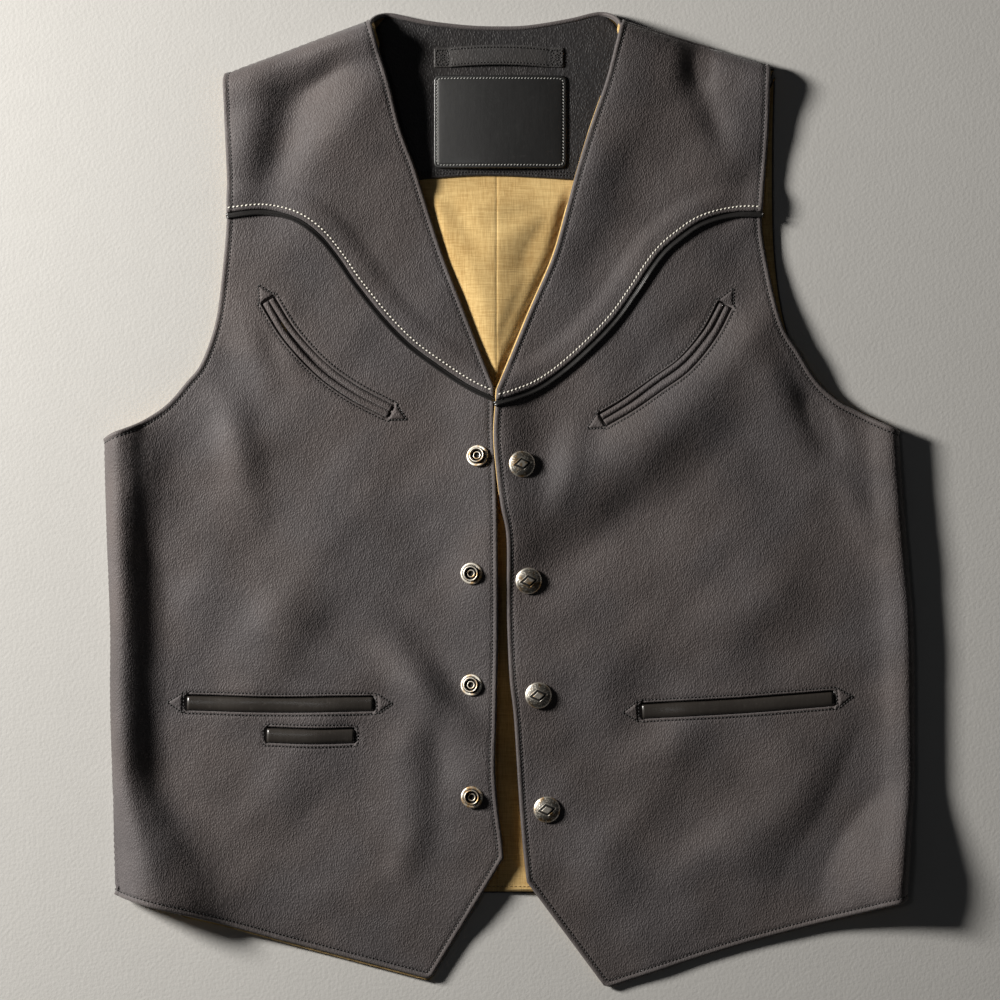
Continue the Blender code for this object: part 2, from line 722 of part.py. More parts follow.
def make_arrow(name, side, arrow, base, behind, finishes):
    """A padded arrowhead that points away from the end of a pocket."""
    ahead = (base - behind) / np.linalg.norm(base - behind)
    across = np.array([-ahead[1], ahead[0]]) * arrow.width / 2
    start = base + ahead * arrow.gap
    pattern = np.array([start - across, start + ahead * arrow.length, start + across,
                        start + ahead * arrow.length * ARROW_PEAK])
    faces = np.array([(0, 1, 3), (1, 2, 3), (2, 0, 3)])
    foot = LEATHER + FASTENER_GAP
    lift = foot + np.array([ARROW_THICK, ARROW_THICK, ARROW_THICK, ARROW_RISE])
    wall(name, faces, place(side, pattern, foot), place(side, pattern, lift),
         finishes["leather"])


def make_arrows(side, finishes):
    for arrow in ARROWS:
        curve = smooth(arrow.curves[side], CURVE_STEP)
        for end, base, behind in (("outer", curve[0], curve[1]), ("inner", curve[-1], curve[-2])):
            name = f"{arrow.pocket}_arrow_{end}_{side}"
            make_arrow(name, side, arrow, base, behind, finishes)


# Parts of the back

def seam_line(side):
    """The side seam underneath, from the armpit to the hem."""
    heights = seam_heights(side)
    inside = SEAM_INSIDE + SEAM_GAP
    return np.column_stack([fold_x(side, heights) - SIGN[side] * inside, heights])


def shoulder_line(side):
    """The shoulder seam underneath, from the armhole to the neck."""
    outer, along, outwards = shoulder_frame(side)
    length = (np.array(BACK_NECK_END[side]) - outer) @ along
    run = np.linspace(SHOULDER_START[side], length, SHOULDER_POINTS)[:, None] * along
    return outer + run - outwards * (SEAM_INSIDE + SEAM_GAP)


def back_outline(reach=0.0):
    """The back, or one larger all round by `reach`."""
    right, left = (join(shoulder_line(side)[::-1], smooth(BACK_ARMHOLE[side], EDGE_STEP),
                        seam_line(side)) for side in SIDES)
    hem = np.array([(0.0, BACK_HEM)])
    loop = join(right, hem, left[::-1], smooth(BACK_NECK, EDGE_STEP)[::-1])
    return sideways(counterclockwise(loop), -reach, closed=True)


def make_back(finishes):
    flat_wall("back", [back_outline()], 0.0, LEATHER, finishes["leather"])
    for side in SIDES:
        edge = CENTRE_BACK + SIGN[side] * SEAM_GAP / 2
        far = SIGN[side] * HALF_LENGTH
        half = np.array([(edge, -HALF_LENGTH), (far, -HALF_LENGTH), (far, HALF_LENGTH),
                         (edge, HALF_LENGTH)])
        flat_wall(f"back_lining_{side}", [back_outline(-1.0), counterclockwise(half)],
                  BACK_LINING_FOOT, CANVAS, finishes["canvas"])


def make_facing(finishes):
    neck = sideways(smooth(BACK_NECK[2:-2], EDGE_STEP), -FACING_INSET)
    loop = join(neck, [FACING_SIDES["left"]], smooth(FACING_LOWER, EDGE_STEP)[::-1],
                [FACING_SIDES["right"]])
    flat_wall("back_neck_facing", [counterclockwise(loop)], FACING_FOOT, FACING,
              finishes["leather"])


def rounded(middle, size, radius):
    """A rectangle with round corners."""
    points = []
    for corner, (sx, sy) in enumerate(((1, 1), (-1, 1), (-1, -1), (1, -1))):
        for step in range(CORNER_STEPS + 1):
            angle = math.pi / 2 * (corner + step / CORNER_STEPS)
            points.append((middle.x + sx * (size[0] / 2 - radius) + radius * math.cos(angle),
                           middle.y + sy * (size[1] / 2 - radius) + radius * math.sin(angle)))
    return np.array(points)


def make_label(finishes):
    loop = rounded(LABEL_MIDDLE, LABEL_SIZE, LABEL_CORNER)
    flat_wall("label_patch", [loop], FACING_TOP + SEAM_GAP, LABEL, finishes["trim"])


def make_hanger(finishes):
    """A strap sewn down at both ends, with its middle slightly arched."""
    first, last = STRAP_SPAN
    free = np.linspace(first + STRAP_END, last - STRAP_END, STRAP_STEPS)
    xs = np.concatenate([[first], free, [last]])
    share = np.clip((xs - free[0]) / (free[-1] - free[0]), 0, 1)
    arch = np.sin(math.pi * share) * STRAP_ARCH
    count = len(xs)
    rows = [np.column_stack([xs, np.full(count, STRAP_MIDDLE + half * STRAP_WIDTH / 2) + arch,
                             FACING_TOP + SEAM_GAP + arch]) for half in (-1, 1)]
    under = np.vstack(rows)
    faces = [t for i in range(count - 1)
             for t in ((i, i + 1, count + i + 1), (i, count + i + 1, count + i))]
    wall("hanger_loop", np.array(faces), under, under + (0, 0, STRAP), finishes["trim"])


# Snap fasteners

def seat(piece, side, spot):
    """Stand a fastener on the outer face of a front."""
    low = LEATHER + FASTENER_GAP
    foot, higher = place(side, [spot, spot], [low, low + 1])
    piece.location = foot * MM
    piece.rotation_mode = "QUATERNION"
    piece.rotation_quaternion = Vector((0, 0, 1)).rotation_difference(Vector(higher - foot))


def ring(radius, height, sides):
    angles = np.arange(sides) * 2 * math.pi / sides
    return np.column_stack([radius * np.cos(angles), radius * np.sin(angles),
                            np.broadcast_to(height, sides)])


def cap_height(points):
    """A shallow dome with a raised lozenge in its middle."""
    radius = np.hypot(points[:, 0], points[:, 1]) / CAP_RADIUS
    lozenge = abs(points[:, 0]) / CAP_LOZENGE[0] + abs(points[:, 1]) / CAP_LOZENGE[1]
    return CAP_EDGE + CAP_DOME * (1 - radius**2) + CAP_LOZENGE_RISE * (lozenge < 1)


def make_cap(number, spot, finishes):
    rings = [ring(CAP_RADIUS - CAP_UNDERCUT, 0.0, CAP_SIDES),
             ring(CAP_RADIUS, CAP_EDGE - CAP_UNDERCUT, CAP_SIDES)]
    for share in CAP_RINGS:
        level = ring(CAP_RADIUS * share, 0.0, CAP_SIDES)
        level[:, 2] = cap_height(level)
        rings.append(level)
    top = CAP_EDGE + CAP_DOME + CAP_LOZENGE_RISE
    cap = turned(f"snap_cap_{number}", rings, [(0, 0, 0), (0, 0, top)], finishes["metal"])
    seat(cap, "left", spot)


def make_stud(number, spot, finishes):
    rings = [ring(turn.radius, turn.height, STUD_SIDES) for turn in STUD_SECTION]
    ends = [(0, 0, 0), (0, 0, STUD_SECTION[-1].height)]
    seat(turned(f"snap_stud_{number}", rings, ends, finishes["metal"]), "right", spot)


def main():
    for old in list(bpy.data.objects):
        bpy.data.objects.remove(old, do_unlink=True)
    finishes = make_materials()
    make_back(finishes)
    make_facing(finishes)
    make_label(finishes)
    make_hanger(finishes)
    for side in SIDES:
        make_front(side, finishes)
        make_yoke(side, finishes)
        make_front_lining(side, finishes)
        make_piping(side, finishes)
        make_pockets(side, finishes)
        make_arrows(side, finishes)
    for number, spot in enumerate(CAPS, 1):
        make_cap(number, spot, finishes)
    for number, spot in enumerate(STUDS, 1):
        make_stud(number, spot, finishes)


main()
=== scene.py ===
"""The looks of the western vest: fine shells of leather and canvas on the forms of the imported
solids, with turned edges, stitching, pockets and snaps, on a pale floor under soft light.

Patterns and sizes are in millimetres and are turned into metres when a mesh is made.
"""

import math
from collections import namedtuple

import bpy
import numpy as np
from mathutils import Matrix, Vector
from mathutils.geometry import delaunay_2d_cdt


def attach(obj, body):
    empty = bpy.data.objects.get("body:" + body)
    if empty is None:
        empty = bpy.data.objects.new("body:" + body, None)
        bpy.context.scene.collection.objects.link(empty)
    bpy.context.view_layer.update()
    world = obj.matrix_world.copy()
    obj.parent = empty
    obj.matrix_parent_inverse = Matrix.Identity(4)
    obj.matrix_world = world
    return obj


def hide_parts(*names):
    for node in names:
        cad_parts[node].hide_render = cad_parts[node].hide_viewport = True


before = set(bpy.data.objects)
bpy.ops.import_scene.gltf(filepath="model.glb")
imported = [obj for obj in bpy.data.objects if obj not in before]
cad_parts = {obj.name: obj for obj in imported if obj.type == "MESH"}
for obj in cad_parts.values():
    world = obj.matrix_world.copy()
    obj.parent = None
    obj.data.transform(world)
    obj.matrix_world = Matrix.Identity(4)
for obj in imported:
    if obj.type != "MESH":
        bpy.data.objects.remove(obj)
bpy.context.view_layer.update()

MM = 0.001
SIGN = {"right": -1.0, "left": 1.0}
SIDES = ("right", "left")

# Walls, seams, levels and rolls, as in the solids
LEATHER = 1.6
CANVAS = 1.0
SEAM_GAP = 0.3
LINING_GAP = 0.5
BACK_LINING_FOOT = LEATHER + SEAM_GAP
BACK_LINING_TOP = BACK_LINING_FOOT + CANVAS
FRONT_LEVEL = BACK_LINING_TOP + SEAM_GAP + CANVAS + LINING_GAP
TIP_LEVEL = SEAM_GAP + CANVAS + LINING_GAP
FACING_FOOT = BACK_LINING_TOP + SEAM_GAP
FACING_TOP = FACING_FOOT + LEATHER
ROLL_WIDTH = 48.0
SIDE_CREST = 12.6
SEAM_INSIDE = 17.0
YOKE_LAP = 8.0
LAP_RISE = LEATHER + 0.5
LAP_RUN = 22.0
HALF_LENGTH = 341.0
CENTRE_BACK = -9.0

# Farther away than any edge of the vest
BEYOND = 3 * HALF_LENGTH
# Between these distances below the middle, the fronts sink past the back's hem to the floor
TIP_DROP = (272.0, 335.0)
# The height of each side roll's crest
CREST_HEIGHT = {"right": 18.0, "left": 12.0}
# How softly troughs end at the level of the flat panel
SOFT_FLOOR = 0.8
# Half the span over which the slope of a sheet is measured
SLOPE_STEP = 0.3

# A roll's section, from the panel round the fold to the seam underneath: how far inside the
# fold, and how much of the panel's level and of the crest is left
Roll = namedtuple("Roll", "inside level crest")
ROLL = (
    Roll(ROLL_WIDTH, 1.0, 0.0), Roll(37.0, 1.0, 0.05), Roll(27.5, 1.0, 0.26),
    Roll(18.5, 1.0, 0.74), Roll(11.5, 1.0, 1.0), Roll(7.0, 1.0, 0.88), Roll(3.9, 0.85, 0.54),
    Roll(1.8, 0.55, 0.22), Roll(3.2, 0.18, 0.04), Roll(7.0, 0.0, 0.0), Roll(12.0, 0.0, 0.0),
    Roll(SEAM_INSIDE, 0.0, 0.0),
)

# A soft ridge or trough: its middle, half lengths along and across, the direction that it runs
# in, in degrees, and its height
Fold = namedtuple("Fold", "x y along across turn height")
FOLDS = {
    "right": (
        # the shoulder and the edge of the neck stand up
        Fold(-88, 296, 70, 50, 105, 12.0),
        Fold(-152, 258, 75, 60, 90, 5.0),
        Fold(-184, 252, 52, 16, 84, 5.0),
        Fold(-156, 256, 42, 15, 74, -5.0),
        Fold(-114, 266, 40, 18, 50, 4.5),
        Fold(-130, 294, 22, 9, 40, -4.0),
        # the panel stands off the lining, most of all at the centre edge
        Fold(-130, 0, 180, 85, 90, 3.5),
        Fold(-2, -150, 120, 42, 90, 8.5),
        Fold(-4, -6, 66, 34, 90, 7.4),
        # troughs and ridges from the armhole
        Fold(-254, 30, 40, 18, 80, 6.0),
        Fold(-189, 36, 40, 14, 104, 6.0),
        Fold(-176, 102, 30, 12, 113, 3.6),
        Fold(-154, 102, 26, 10, 107, 2.4),
        Fold(-205, 104, 34, 10, 108, -2.0),
        # across the waist
        Fold(-205, -30, 60, 22, 85, 1.6),
        Fold(-158, -92, 46, 27, 66, 5.5),
        Fold(-108, -96, 46, 14, 152, -3.0),
        Fold(-205, -104, 50, 20, 75, -1.8),
        Fold(-56, -138, 44, 15, 131, 9.0),
        Fold(-45, -119, 36, 13, 129, -4.0),
        Fold(-112, -118, 34, 13, 152, 3.0),
        # above the hem
        Fold(-70, -178, 30, 13, 86, 2.2),
        Fold(-48, -182, 44, 11, 88, -2.4),
        Fold(-70, -238, 26, 13, 75, 3.4),
        Fold(-150, -186, 50, 22, 60, 2.6),
        Fold(-112, -222, 42, 18, 75, -2.4),
    ),
    "left": (
        # the shoulder and the edge of the neck stand up
        Fold(70, 300, 75, 40, 75, 11.0),
        Fold(136, 258, 75, 55, 90, 5.0),
        Fold(50, 212, 62, 23, 70, 6.0),
        Fold(132, 300, 22, 12, 95, -6.0),
        Fold(144, 264, 20, 10, 108, -3.2),
        Fold(176, 280, 45, 18, 95, 2.2),
        Fold(168, 222, 34, 14, 60, -2.4),
        # the panel stands off the lining, most of all at the centre edge
        Fold(120, -20, 190, 95, 90, 3.5),
        Fold(2, -110, 165, 36, 90, 4.5),
        Fold(-8, 22, 66, 24, 93, 11.0),
        # troughs and ridges of the chest
        Fold(84, 36, 82, 28, 36, 9.5),
        Fold(112, 98, 60, 15, 44, -3.6),
        Fold(42, 24, 30, 11, 75, 3.2),
        Fold(62, -26, 66, 18, 32, -3.4),
        Fold(164, 106, 40, 15, 52, 3.0),
        Fold(192, 84, 45, 24, 115, 5.5),
        Fold(176, 178, 30, 14, 50, -2.6),
        Fold(220, 50, 46, 11, 119, -6.0),
        Fold(236, 20, 52, 12, 110, 4.5),
        # across the waist
        Fold(164, -80, 52, 18, 22, 3.8),
        Fold(196, -108, 44, 18, 30, -1.6),
        Fold(92, -140, 40, 20, 60, -2.0),
        Fold(62, -90, 70, 26, 100, 2.0),
        Fold(118, -168, 22, 14, 50, 2.2),
        # above the hem
        Fold(200, -206, 66, 26, 56, 4.2),
        Fold(231, -222, 70, 22, 60, -6.0),
        Fold(138, -252, 40, 18, 30, 2.4),
        Fold(276, -262, 48, 44, 80, 15.5),
        Fold(262, -180, 14, 12, 90, -3.5),
        Fold(70, -250, 50, 20, 60, 2.4),
    ),
}

# Towards the hem a side roll's crest spreads inwards, by a share of its width, between these
# distances below the middle, and grows or sinks to a share of its height
HEM_SPREAD = {"right": 1.75, "left": 0.0}
HEM_SPAN = (185.0, 285.0)
HEM_CREST = {"right": 1.7, "left": 0.4}
# How far a roll's crest is pulled out towards its fold, and over what distance
ROLL_PULL = {"right": 0.0, "left": 5.0}
PULL_RUN = 4.0

# Outlines as seen from above, read from the photo
SHOULDER = {"right": ((-199, 298), (-98, 335)), "left": ((182, 304), (79, 335))}
SHOULDER_CREST = {"right": (9.0, 13.0), "left": (8.0, 12.0)}
SIDE_FOLD = {
    "right": ((-283, 90), (-284, 42), (-282.5, -20), (-280, -90), (-280, -141), (-278, -211),
              (-276, -290)),
    "left": ((273, 90), (273, 46), (278, -24), (283, -85), (284, -141), (284, -197),
             (281, -237), (277, -300)),
}
ARMHOLE = {
    "right": ((-199.5, 296), (-198, 241), (-197.5, 200), (-201, 158), (-206, 123), (-216, 95),
              (-226, 82), (-240, 66), (-256, 55), (-272, 48), (-284, 43)),
    "left": ((182, 303), (181, 255), (178, 213), (176.5, 194), (180, 168), (190, 124),
             (202, 103), (215, 83), (230, 69), (243, 62), (257, 55), (273, 48)),
}
NECK = {
    "right": ((-97, 334), (-91, 313), (-84, 290), (-76, 259), (-66, 232), (-56, 200),
              (-45, 167), (-31.5, 132), (-10.5, 78)),
    "left": ((78, 334), (74, 318), (67, 291), (56, 259), (46, 226), (39, 200), (30, 169),
             (14, 132), (-9, 76)),
}
CENTRE = {
    "right": ((-10.5, 78), (-10.5, 46), (-8.5, 1), (-8, -45), (-8, -99), (-9, -152), (-10, -186),
              (-8, -215), (-5, -238), (-4, -251)),
    "left": ((-9, 76), (-11, 46), (-9, 19), (-6, -5), (-2, -28), (-2, -78), (0, -124),
             (3, -152), (6, -200), (9, -240), (12, -268)),
}
TIP = {"right": ((-4, -251), (-54, -334)), "left": ((12, -268), (66, -341))}
HEM = {
    "right": ((-57, -336), (-84, -329), (-160, -309), (-233, -288), (-276, -277)),
    "left": ((70, -342), (91, -335), (159, -313), (225, -295), (277, -280)),
}
YOKE_EDGE = {
    "right": ((-212, 197), (-198, 200), (-174, 202.5), (-151, 198), (-133, 186), (-119, 169),
              (-106, 150), (-87, 126.5), (-68, 107.8), (-47, 92.3), (-28, 79.8), (-12, 72),
              (0, 67)),
    "left": ((192, 200), (179, 201), (161, 201), (145, 198.5), (131, 193), (118.5, 184),
             (107, 174), (97, 161), (87, 145.5), (71.5, 124.5), (48.5, 101), (24, 82),
             (3, 72.5), (-9, 68.5), (-20, 65)),
}
BACK_NECK = ((-98.5, 333), (-87, 339.7), (-74, 338), (-56, 335), (-29, 332), (-9, 331.3),
             (13, 332), (41, 336.5), (57, 340), (67, 340.6), (79, 335))
BACK_NECK_END = {"right": (-98.5, 325), "left": (79, 326)}
SHOULDER_START = {"right": 8.0, "left": -4.0}
BACK_ARMHOLE = {
    "right": ((-192, 240), (-192, 190), (-198, 130), (-212, 88), (-232, 64)),
    "left": ((186, 296), (185, 241), (186, 174), (193, 124), (206, 92), (224, 68), (243, 54)),
}
BACK_HEM = -276.0
ARMPIT = {"right": 41.0, "left": 47.0}
HEM_END = {"right": -276.0, "left": -279.0}
FACING_LOWER = ((-72, 223), (-31, 226), (-9, 226.3), (13, 225.5), (52, 223))
FACING_SIDES = {"right": ((-90.5, 333.5), (-99, 321)), "left": ((74, 332.5), (83, 318))}
LABEL_MIDDLE = (-6.5, 264.0)
LABEL_SIZE = (93.0, 65.0)
LABEL_CORNER = 4.0
STRAP_SPAN = (-53.0, 38.0)
STRAP_MIDDLE = 309.0
STRAP_WIDTH = 14.0
STRAP_END = 11.0
STRAP_ARCH = 1.8

CHEST_POCKET = {
    "right": ((-169, 139), (-154, 115), (-133, 92), (-110, 75), (-83, 61)),
    "left": ((151, 136), (140, 115), (123, 94), (104, 80), (84, 66), (65, 55)),
}
LOWER_POCKET = {
    "right": ((-226, -142.5), (-161, -144), (-95, -143)),
    "left": ((227, -139.5), (163, -144.5), (92.5, -148.5)),
}
COIN_POCKET = ((-170, -165), (-139, -166), (-108.5, -165.5))
# Half the width of the slots
CHEST_HALF = 5.0 + SEAM_GAP * 1.5
WELT_HALF = 5.3 + SEAM_GAP

# Padded arrowheads at the ends of a kind of pocket, and how far they are from its slot
Arrow = namedtuple("Arrow", "pocket curves width length gap")
ARROWS = (
    Arrow("chest", CHEST_POCKET, 11.5, 11.0, 0.9),
    Arrow("lower", LOWER_POCKET, 13.0, 10.0, 3.0),
)
CAPS = ((8, 24), (13, -57), (20, -137), (26, -217))
STUDS = ((-22, 30), (-26, -52), (-26, -130), (-26, -208))

# Fine mesh spacings
PANEL_PITCH = 2.5
LINING_PITCH = 4.5
BACK_LINING_PITCH = LINING_PITCH * 0.75
FACING_PITCH = 2.4
LABEL_PITCH = 3.0
STRAP_PITCH = 2.2
EDGE_PITCH = 2.2
STRAP_EDGE_PITCH = 1.4

# Heights added to a sheet's outer face, against the distance from an edge
Level = namedtuple("Level", "at height")
TURNED_EDGE = (Level(0, -1.0), Level(0.25, -0.4), Level(0.7, 0.2), Level(1.2, 0.5),
               Level(1.8, 0.5), Level(2.4, 0.32), Level(3.1, 0.02), Level(3.7, -0.32),
               Level(4.2, -0.38), Level(4.9, -0.1), Level(6.0, 0.06), Level(8.0, 0.0))
TURNED_UNDER = (Level(0, 0.4), Level(0.5, 0.05), Level(1.3, -0.12), Level(3.0, -0.1),
                Level(5.0, 0.0))
LAPPED_EDGE = (Level(0, -1.0), Level(0.3, -0.35), Level(0.8, 0.05), Level(1.7, 0.2),
               Level(2.6, 0.05), Level(3.3, -0.25), Level(4.0, -0.05), Level(5.0, 0.06),
               Level(7.0, 0.0))
SLOT_EDGE = (Level(0, -0.9), Level(0.2, -0.3), Level(0.6, 0.2), Level(1.1, 0.28),
             Level(1.6, -0.05), Level(2.0, -0.3), Level(2.4, -0.1), Level(3.3, 0.0))
# The least that is left of a yoke's wall at its edges
THIN_LEATHER = 0.45

# Wear on leather: how far from an edge it is strongest, over what width, and how strong
Wear = namedtuple("Wear", "middle width amount")
RIM_WEAR = Wear(1.4, 1.1, 1.0)
# Round the pocket slots the lighter colour is partly wear and partly a painted highlight on their
# raised rims
SLOT_WEAR_AND_HIGHLIGHT = Wear(0.8, 0.7, 0.6)
LAP_WEAR = Wear(1.2, 1.2, 0.45)

# How far stitch rows are from the edges that they follow
RIM_ROW = 4.0
LAP_ROW = 3.4
SLOT_ROW = 2.0

# Kinds of stitch: from one to the next, their length and width, how far their middle is lifted
# from the surface, and how far they are turned from the row
Stitch = namedtuple("Stitch", "pitch length width lift slant")
RIM_STITCH = Stitch(2.6, 1.7, 1.4, 0.02, 0.0)
SLOT_STITCH = Stitch(2.5, 1.6, 1.15, -0.05, 0.0)
ARROW_STITCH = Stitch(2.3, 1.8, 1.25, 0.0, 0.0)
YOKE_STITCH = Stitch(2.87, 2.1, 1.15, 0.0, 0.3)
FACING_STITCH = Stitch(2.2, 1.5, 0.95, FACING_TOP + 0.12, 0.0)
HEM_STITCH = Stitch(3.0, 2.1, 0.6, BACK_LINING_TOP + 0.05, 0.0)
LABEL_STITCH = Stitch(2.25, 1.75, 0.85, -0.05, 0.5)
STRAP_STITCH = Stitch(2.3, 1.5, 0.95, 1.25, 0.0)
CROSS_STITCH = Stitch(2.0, 1.4, 0.85, 1.0, 0.0)

# Low waves in the leather of the fronts: length, direction in degrees, phase and height
Wave = namedtuple("Wave", "length turn phase height")
WAVES = (
    Wave(128, 12, 0.4, 0.40), Wave(104, 71, 2.1, 0.34), Wave(91, 128, 4.0, 0.34),
    Wave(77, 40, 5.2, 0.30), Wave(66, 96, 1.3, 0.24), Wave(58, 152, 3.1, 0.20),
    Wave(47, 24, 0.9, 0.17), Wave(39, 115, 2.7, 0.13), Wave(33, 66, 4.6, 0.10),
    Wave(26, 140, 1.9, 0.07), Wave(22, 82, 3.7, 0.05),
)


# Curves and regions in the flat pattern

# Points that are nearer to each other than this count as one
SAME_POINT = 0.2


def smooth(points, step):
    """Points about `step` apart on a smooth curve through `points`."""
    knots = np.asarray(points, float)
    padded = np.vstack([2 * knots[0] - knots[1], knots, 2 * knots[-1] - knots[-2]])
    curve = [knots[:1]]
    for a, b, c, d in zip(padded, padded[1:], padded[2:], padded[3:]):
        count = max(1, round(float(np.linalg.norm(c - b)) / step))
        t = np.linspace(0, 1, count + 1)[1:, None]
        curve.append(0.5 * (2 * b + (c - a) * t + (2 * a - 5 * b + 4 * c - d) * t**2
                            + (3 * b - a - 3 * c + d) * t**3))
    return np.vstack(curve)


def even(curve, step, closed=False):
    """Points at even steps along a line of straight runs."""
    line = np.vstack([curve, curve[:1]]) if closed else np.asarray(curve, float)
    run = np.concatenate([[0], np.cumsum(np.linalg.norm(np.diff(line, axis=0), axis=1))])
    count = max(2, round(run[-1] / step))
    at = np.linspace(0, run[-1], count + 1)[:count if closed else None]
    return np.column_stack([np.interp(at, run, line[:, i]) for i in range(line.shape[1])])


def join(*edges):
    """One closed loop from edges laid end to end, without doubled corners."""
    points = np.vstack(edges)
    apart = np.linalg.norm(points - np.roll(points, 1, axis=0), axis=1) > SAME_POINT
    return points[apart]


def sideways(curve, amount, closed=False):
    """A curve moved to its left by `amount`, as seen when walking along it."""
    if closed:
        run = np.roll(curve, -1, axis=0) - np.roll(curve, 1, axis=0)
    else:
        run = np.gradient(curve, axis=0)
    left = np.stack([-run[:, 1], run[:, 0]], axis=1)
    left /= np.linalg.norm(left, axis=1)[:, None]
    return curve + left * np.reshape(amount, (-1, 1))


def counterclockwise(loop):
    """The loop, turned round if it runs clockwise."""
    x, y = loop[:, 0], loop[:, 1]
    area = np.sum(x * np.roll(y, -1) - y * np.roll(x, -1))
    return loop if area > 0 else loop[::-1]


def within(points, loop):
    """Which points lie inside a closed loop."""
    found = np.zeros(len(points), bool)
    for a, b in zip(loop, np.roll(loop, -1, axis=0)):
        if a[1] == b[1]:
            continue
        level = (a[1] > points[:, 1]) != (b[1] > points[:, 1])
        crossing = a[0] + (points[:, 1] - a[1]) * (b[0] - a[0]) / (b[1] - a[1])
        found ^= level & (points[:, 0] < crossing)
    return found


def distance(points, curve):
    """How far each point is from an open curve."""
    nearest = np.full(len(points), np.inf)
    for a, b in zip(curve, curve[1:]):
        run = b - a
        share = np.clip((points - a) @ run / (run @ run), 0, 1)
        offset = points - a - share[:, None] * run
        nearest = np.minimum(nearest, np.einsum("ij,ij->i", offset, offset))
    return np.sqrt(nearest)


def closed(loop):
    """A loop as a curve that ends where it starts."""
    return np.vstack([loop, loop[:1]])


def band(curve, left, right):
    """The closed strip from `left` to `right` of a curve."""
    return counterclockwise(join(sideways(curve, left), sideways(curve, right)[::-1]))


def beside(curve, reach):
    """The region on one side of a seam that crosses a front: `reach` upwards or downwards."""
    ends = curve[[0, -1]]
    width = ends[:, 0] - ends[::-1, 0]
    ends[:, 0] += 2 * width
    far = ends + (0, reach)
    return counterclockwise(join(curve, ends[1:], far[1:], far[:1], ends[:1]))


def shortened(curve, amount):
    """A curve with `amount` taken off each end."""
    trimmed = np.array(curve, float)
    for end, next_in in ((0, 1), (-1, -2)):
        run = curve[next_in] - curve[end]
        trimmed[end] += run * amount / np.linalg.norm(run)
    return trimmed


def soft_step(value, start, end):
    """A smooth rise from 0 at `start` to 1 at `end`."""
    t = np.clip((value - start) / (end - start), 0, 1)
    return t * t * (3 - 2 * t)


def levels(table, at):
    """Heights read from a table of levels."""
    return np.interp(at, [row.at for row in table], [row.height for row in table])


def grid_inside(loops, pitch):
    """A grid of even triangles inside all the loops."""
    low, high = loops[0].min(axis=0), loops[0].max(axis=0)
    xs, ys = np.meshgrid(np.arange(low[0], high[0], pitch),
                         np.arange(low[1], high[1], pitch * math.sqrt(0.75)))
    xs[1::2] += pitch / 2
    grid = np.column_stack([xs.ravel(), ys.ravel()])
    for loop in loops:
        grid = grid[within(grid, loop)]
    return grid


def triangulate(region, holes, spots):
    """Triangles that fill a region: inside all of its loops and outside its holes."""
    points, edges = [], []
    for loop in (*region, *holes):
        first = len(points)
        points.extend(loop)
        edges.extend((first + i, first + (i + 1) % len(loop)) for i in range(len(loop)))
    for spot in spots:
        points.extend(spot)
    found = delaunay_2d_cdt([Vector(p) for p in points], edges, [], 0, 1e-4)
    flat = np.array([(v.x, v.y) for v in found[0]])
    faces = np.array(found[2])
    middles = flat[faces].mean(axis=1)
    keep = np.ones(len(faces), bool)
    for loop in region:
        keep &= within(middles, loop)
    for hole in holes:
        keep &= ~within(middles, hole)
    used, faces = np.unique(faces[keep], return_inverse=True)
    return flat[used], faces.reshape(-1, 3)


def fine_sheet(region, holes=(), edges=(), pitch=PANEL_PITCH):
    """A finely divided region, as points and triangles. Each of `edges` is a line, the table of
    levels whose steps get a row of points, and the sides of the line that they are on."""
    outline = closed(region[0])
    spots, clear = [], []
    for line, table, sides in edges:
        rows = [row.at for row in table[1:-1]]
        for at, side in ((at, side) for at in rows for side in sides):
            row = sideways(line, at * side)
            row = row[distance(row, line) > at * 0.94]
            for loop in region:
                row = row[within(row, loop)]
            spots.append(row[distance(row, outline) > SAME_POINT])
        clear.append((line, rows[-1] + 0.6 * pitch))
    grid = grid_inside(region, pitch)
    for line, reach in (*clear, *((closed(loop), 0.5 * pitch) for loop in (*region, *holes))):
        grid = grid[distance(grid, line) > reach]
    return triangulate(region, holes, [*spots, grid])


# How a front lies: over the back, round its side fold and round its shoulder fold

def roll_curve():
    """The section of a roll, against the length of leather that has gone into it."""
    rows = smooth(ROLL, 0.6)
    inside, level, crest = rows[:, 0], *np.clip(rows[:, 1:], 0, 1).T
    height = level * (FRONT_LEVEL - LEATHER) + crest * (SIDE_CREST - FRONT_LEVEL)
    run = np.hypot(np.diff(inside), np.diff(height))
    return np.concatenate([[0], np.cumsum(run)]), np.column_stack([inside, level, crest])


ROLL_RUN, ROLL_SECTION = roll_curve()
ROLL_LENGTH = ROLL_RUN[-1]
FOLD_AT = int(np.argmin(ROLL_SECTION[:, 0]))
FOLD_LINE = {side: smooth(SIDE_FOLD[side], 4.0) for side in SIDES}
LAP_LINE = {side: smooth(YOKE_EDGE[side], 6.0) for side in SIDES}


def roll(beyond):
    """Inside distance, level and crest of a roll, `beyond` past the line where it starts."""
    columns = [np.interp(beyond, ROLL_RUN, ROLL_SECTION[:, i]) for i in range(3)]
    columns[0] = np.where(beyond <= 0, ROLL_WIDTH - beyond, columns[0])
    return columns[0] + np.maximum(beyond - ROLL_LENGTH, 0), columns[1], columns[2]


def unroll(inside):
    """How far past its start a roll's upper side is, at a distance inside its fold."""
    upper = slice(0, FOLD_AT + 1)
    spot = np.interp(-inside, -ROLL_SECTION[upper, 0], ROLL_RUN[upper])
    return np.where(inside >= ROLL_WIDTH, ROLL_WIDTH - inside, spot)


def fold_x(side, y):
    """Where the side fold is, at a height."""
    return np.interp(-y, -FOLD_LINE[side][:, 1], FOLD_LINE[side][:, 0])


